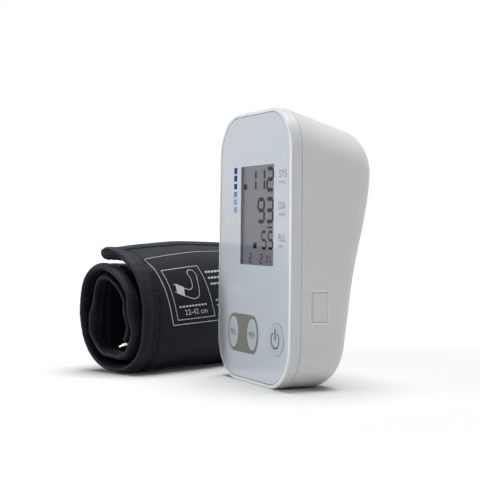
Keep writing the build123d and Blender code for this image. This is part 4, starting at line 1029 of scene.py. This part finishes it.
def power_sign():
    """Sign for power: a ring open at its top, an arc carried round a circle, and an upright bar."""
    angle = np.linspace(np.pi / 2 + POWER_OPENING, 5 * np.pi / 2 - POWER_OPENING, POWER_POINTS)
    direction = np.stack([np.cos(angle), np.sin(angle)], axis=-1)
    ring = np.stack([POWER_CENTRE + radius * direction for radius in POWER_RADII], axis=1)
    points = on_front(ring.reshape(-1, 2), KEY_FACE_DEPTH)
    faces = grid_faces(POWER_POINTS, 2)
    add_mesh("power_sign_ring", points, faces, key_print, "power_key", smooth=False)
    front_shapes("power_sign_bar", [box_outline(*POWER_BAR)], KEY_FACE_DEPTH, key_print, "power_key")


power_sign()


# Print on the cuff, its corners given by their turns and distances

FRAME_CORNERS = ((0.0805, 0.0115), (0.0495, 0.1300), (0.2650, 0.1300), (0.2870, 0.0228))
PANEL_CORNERS = ((0.2705, 0.0265), (0.2635, 0.0582), (0.1140, 0.0495), (0.1210, 0.0180))
OUTER_LINE = 0.5 * MM
INNER_LINE = 0.43 * MM
ARM_WIDTH = 0.45 * MM
LINE_LIFT = 0.10 * MM
SHAPE_LIFT = 0.12 * MM
RUN_POINTS = 121
CURVE_STEPS = 12
CURVE_REACH = 4


def cuff_ribbon(name, line, width):
    """Ribbon of a width along a line on the outer face."""
    turn, distance = line.T
    inset = seam_dent(turn, distance) - LINE_LIFT
    here = cuff_place(turn, distance, inset)
    out = unit(cuff_place(turn, distance, inset - 1.0 * MM) - here)
    tangent = unit(np.gradient(here, axis=0))
    side = unit(np.cross(out, tangent)) * width / 2
    points = np.stack([here + side, here - side], axis=1).reshape(-1, 3)
    add_mesh(name, points, grid_faces(len(line), 2), print_white, "cuff", smooth=False)


def cuff_stroke(name, corners, width):
    """Closed printed line on the outer face, in straight runs from corner to corner."""
    path = np.array([*corners, corners[0]])
    runs = [np.linspace(start, finish, RUN_POINTS)[:-1] for start, finish in zip(path, path[1:])]
    cuff_ribbon(name, np.concatenate([*runs, path[-1:]]), width)


def print_place(share):
    """Turn and distance of points of the picture panel, whose shares run from its lower near corner."""
    near_low, far_low, far_high, near_high = np.array(PANEL_CORNERS)
    low = near_low + (far_low - near_low) * share[:, :1]
    high = near_high + (far_high - near_high) * share[:, :1]
    return low + (high - low) * share[:, 1:]


def panel_curve(name, shares, width):
    """Printed line through places of the picture panel, rounded by a running mean along it."""
    step = np.arange(len(shares))
    fine = np.linspace(0, step[-1], CURVE_STEPS * step[-1] + 1)
    count = 2 * CURVE_REACH + 1
    rounded = []
    for values in zip(*shares):
        dense = np.pad(np.interp(fine, step, values), CURVE_REACH, mode="edge")
        rounded.append(np.convolve(dense, np.full(count, 1 / count), mode="valid"))
    cuff_ribbon(name, print_place(np.stack(rounded, axis=-1)), width)


def panel_mesh(name, flat, faces):
    """Flat shapes printed in the picture panel, whose points are shares of its width and height."""
    turn, distance = print_place(flat).T
    points = cuff_place(turn, distance, seam_dent(turn, distance) - SHAPE_LIFT)
    add_mesh(name, points, faces, print_white, "cuff", smooth=False)


# Dashes that stand for small print, in shares of the panel: left side and top row of a block, its rows
# and columns, and the pitch and width of its dashes
DASH_ROW_PITCH = 0.11
DASH_HEIGHT = 0.035
DASHES = (
    ("arm_caption_rule", 0.10, 0.265, 1, 9, 0.085, 0.062),
    ("side_caption_rules", 1.12, 0.86, 3, 8, 0.09, 0.066),
    ("side_caption_rules_low", 1.12, 0.32, 2, 8, 0.09, 0.066),
)


def panel_dashes(name, left, top, rows, columns, pitch, width):
    """Printed block of dashes."""
    dash = box_outline(0.0, 0.0, width, DASH_HEIGHT)
    across = left + pitch * np.arange(columns)
    down = top - DASH_ROW_PITCH * np.arange(rows)[:, None]
    places = cloth_pairs(across, down).reshape(-1, 1, 2)
    points = (places + dash).reshape(-1, 2)
    panel_mesh(name, points, np.arange(len(points)).reshape(-1, 4))


# Bent arm with a cuff round its upper part, and the arm sizes that the cuff fits
ARM_LINE = (
    (0.08, 0.60),
    (0.30, 0.50),
    (0.55, 0.41),
    (0.70, 0.45),
    (0.76, 0.62),
    (0.80, 0.78),
    (0.84, 0.85),
    (0.80, 0.93),
    (0.68, 0.95),
    (0.60, 0.88),
    (0.64, 0.80),
    (0.60, 0.64),
    (0.50, 0.59),
    (0.30, 0.66),
    (0.10, 0.74),
)
ARM_BAND = ((0.14, 0.56), (0.32, 0.48), (0.36, 0.66), (0.18, 0.74))
SIZES_BOX = (0.22, 0.09, 0.60, 0.12)

cuff_stroke("cuff_print_frame", FRAME_CORNERS, OUTER_LINE)
cuff_stroke("cuff_print_panel", PANEL_CORNERS, INNER_LINE)
panel_curve("arm_line", ARM_LINE, ARM_WIDTH)
panel_mesh("arm_band_mark", np.array(ARM_BAND), [(0, 1, 2, 3)])
flat, faces = font_mesh("22-42 cm")
panel_mesh("arm_sizes", fitted(flat, SIZES_BOX), faces)
for block in DASHES:
    panel_dashes(*block)


# Floor, light and background

WHITE = (1.0, 1.0, 1.0, 1.0)
FLOOR_HALF = 40.0
FAR_GLOW = 0.3
FAR_FLOOR = (0.12, 1.4)
FLOOR_PAINT = 0.88
FLOOR_BOUNCE = 0.8
WORLD_LIGHT = 0.12
WORLD_REFLECTED = 0.8
SKY_POWER = 2.95
SKY_SPREAD = np.radians(44.0)
SKY_LEAN = (np.radians(-5.0), np.radians(-1.5), 0.0)
FRONT_LIGHT_PLACE = Vector((-0.5, -1.5, 0.22))
FRONT_LIGHT_TARGET = Vector((-0.03, 0.0, 0.07))
FRONT_LIGHT_SIZE = 0.4
FRONT_LIGHT_POWER = 11.0


def add_floor():
    """Wide pale floor that keeps the object's shadow. The camera sees it turn white with the distance."""
    mesh = bpy.data.meshes.new("floor")
    square = box_outline(-FLOOR_HALF, -FLOOR_HALF, 2 * FLOOR_HALF, 2 * FLOOR_HALF)
    mesh.from_pydata([(x, y, 0) for x, y in square], [], [(0, 1, 2, 3)])
    made = Finish("floor_paint")
    seen = made.node("ShaderNodeLightPath").outputs["Is Camera Ray"]
    glow = made.node("ShaderNodeEmission", {"Color": WHITE})
    distance = made.node("ShaderNodeVectorMath", operation="LENGTH")
    made.link(made.coordinates(), distance.inputs[0])
    least, most = FAR_FLOOR
    far = made.node("ShaderNodeMapRange", {"From Min": least, "From Max": most, "To Max": FAR_GLOW})
    made.link(distance.outputs["Value"], far.inputs["Value"])
    scaled = made.node("ShaderNodeMath", operation="MULTIPLY")
    made.link(seen, scaled.inputs[0])
    made.link(far.outputs["Result"], scaled.inputs[1])
    made.link(scaled.outputs[0], glow.inputs["Strength"])
    made.two_colours(seen, shade(WHITE, FLOOR_BOUNCE), shade(WHITE, FLOOR_PAINT))
    made.set(Roughness=0.9, Specular_IOR_Level=0.0)
    added = made.node("ShaderNodeAddShader")
    made.link(made.shader.outputs[0], added.inputs[0])
    made.link(glow.outputs[0], added.inputs[1])
    made.link(added.outputs[0], made.tree.nodes["Material Output"].inputs["Surface"])
    mesh.materials.append(made.material)
    floor = placed("floor", mesh)


def set_world():
    """Even grey light all round, and white where the camera, a reflection or a clear piece looks at it."""
    world = bpy.data.worlds.new("world")
    bpy.context.scene.world = world
    world.use_nodes = True
    tree = world.node_tree
    links = tree.links
    shader = tree.nodes["Background"]
    shader.inputs["Color"].default_value = WHITE
    path = add_node(tree, "ShaderNodeLightPath")
    seen = add_node(tree, "ShaderNodeMath", operation="MAXIMUM")
    links.new(path.outputs["Is Camera Ray"], seen.inputs[0])
    links.new(path.outputs["Is Transmission Ray"], seen.inputs[1])
    sockets = {"To Min": WORLD_LIGHT, "To Max": WORLD_REFLECTED}
    mirrored = add_node(tree, "ShaderNodeMapRange", sockets)
    links.new(path.outputs["Is Glossy Ray"], mirrored.inputs["Value"])
    strength = add_node(tree, "ShaderNodeMath", operation="MAXIMUM")
    links.new(seen.outputs[0], strength.inputs[0])
    links.new(mirrored.outputs["Result"], strength.inputs[1])
    links.new(strength.outputs[0], shader.inputs["Strength"])


def add_front_light():
    """Square soft light that faces the object from in front."""
    data = bpy.data.lights.new("front_light", "AREA")
    data.shape = "SQUARE"
    data.size = FRONT_LIGHT_SIZE
    data.energy = FRONT_LIGHT_POWER
    light = placed("front_light", data)
    light.location = FRONT_LIGHT_PLACE
    light.rotation_euler = (FRONT_LIGHT_TARGET - FRONT_LIGHT_PLACE).to_track_quat("-Z", "Y").to_euler()


def add_sky_light():
    """Wide soft light from overhead, the same at every distance, leaning a little from the upright."""
    data = bpy.data.lights.new("overhead_light", "SUN")
    data.energy = SKY_POWER
    data.angle = SKY_SPREAD
    placed("overhead_light", data).rotation_euler = SKY_LEAN


add_floor()
set_world()
add_sky_light()
add_front_light()

bpy.context.scene.view_settings.view_transform = "Standard"
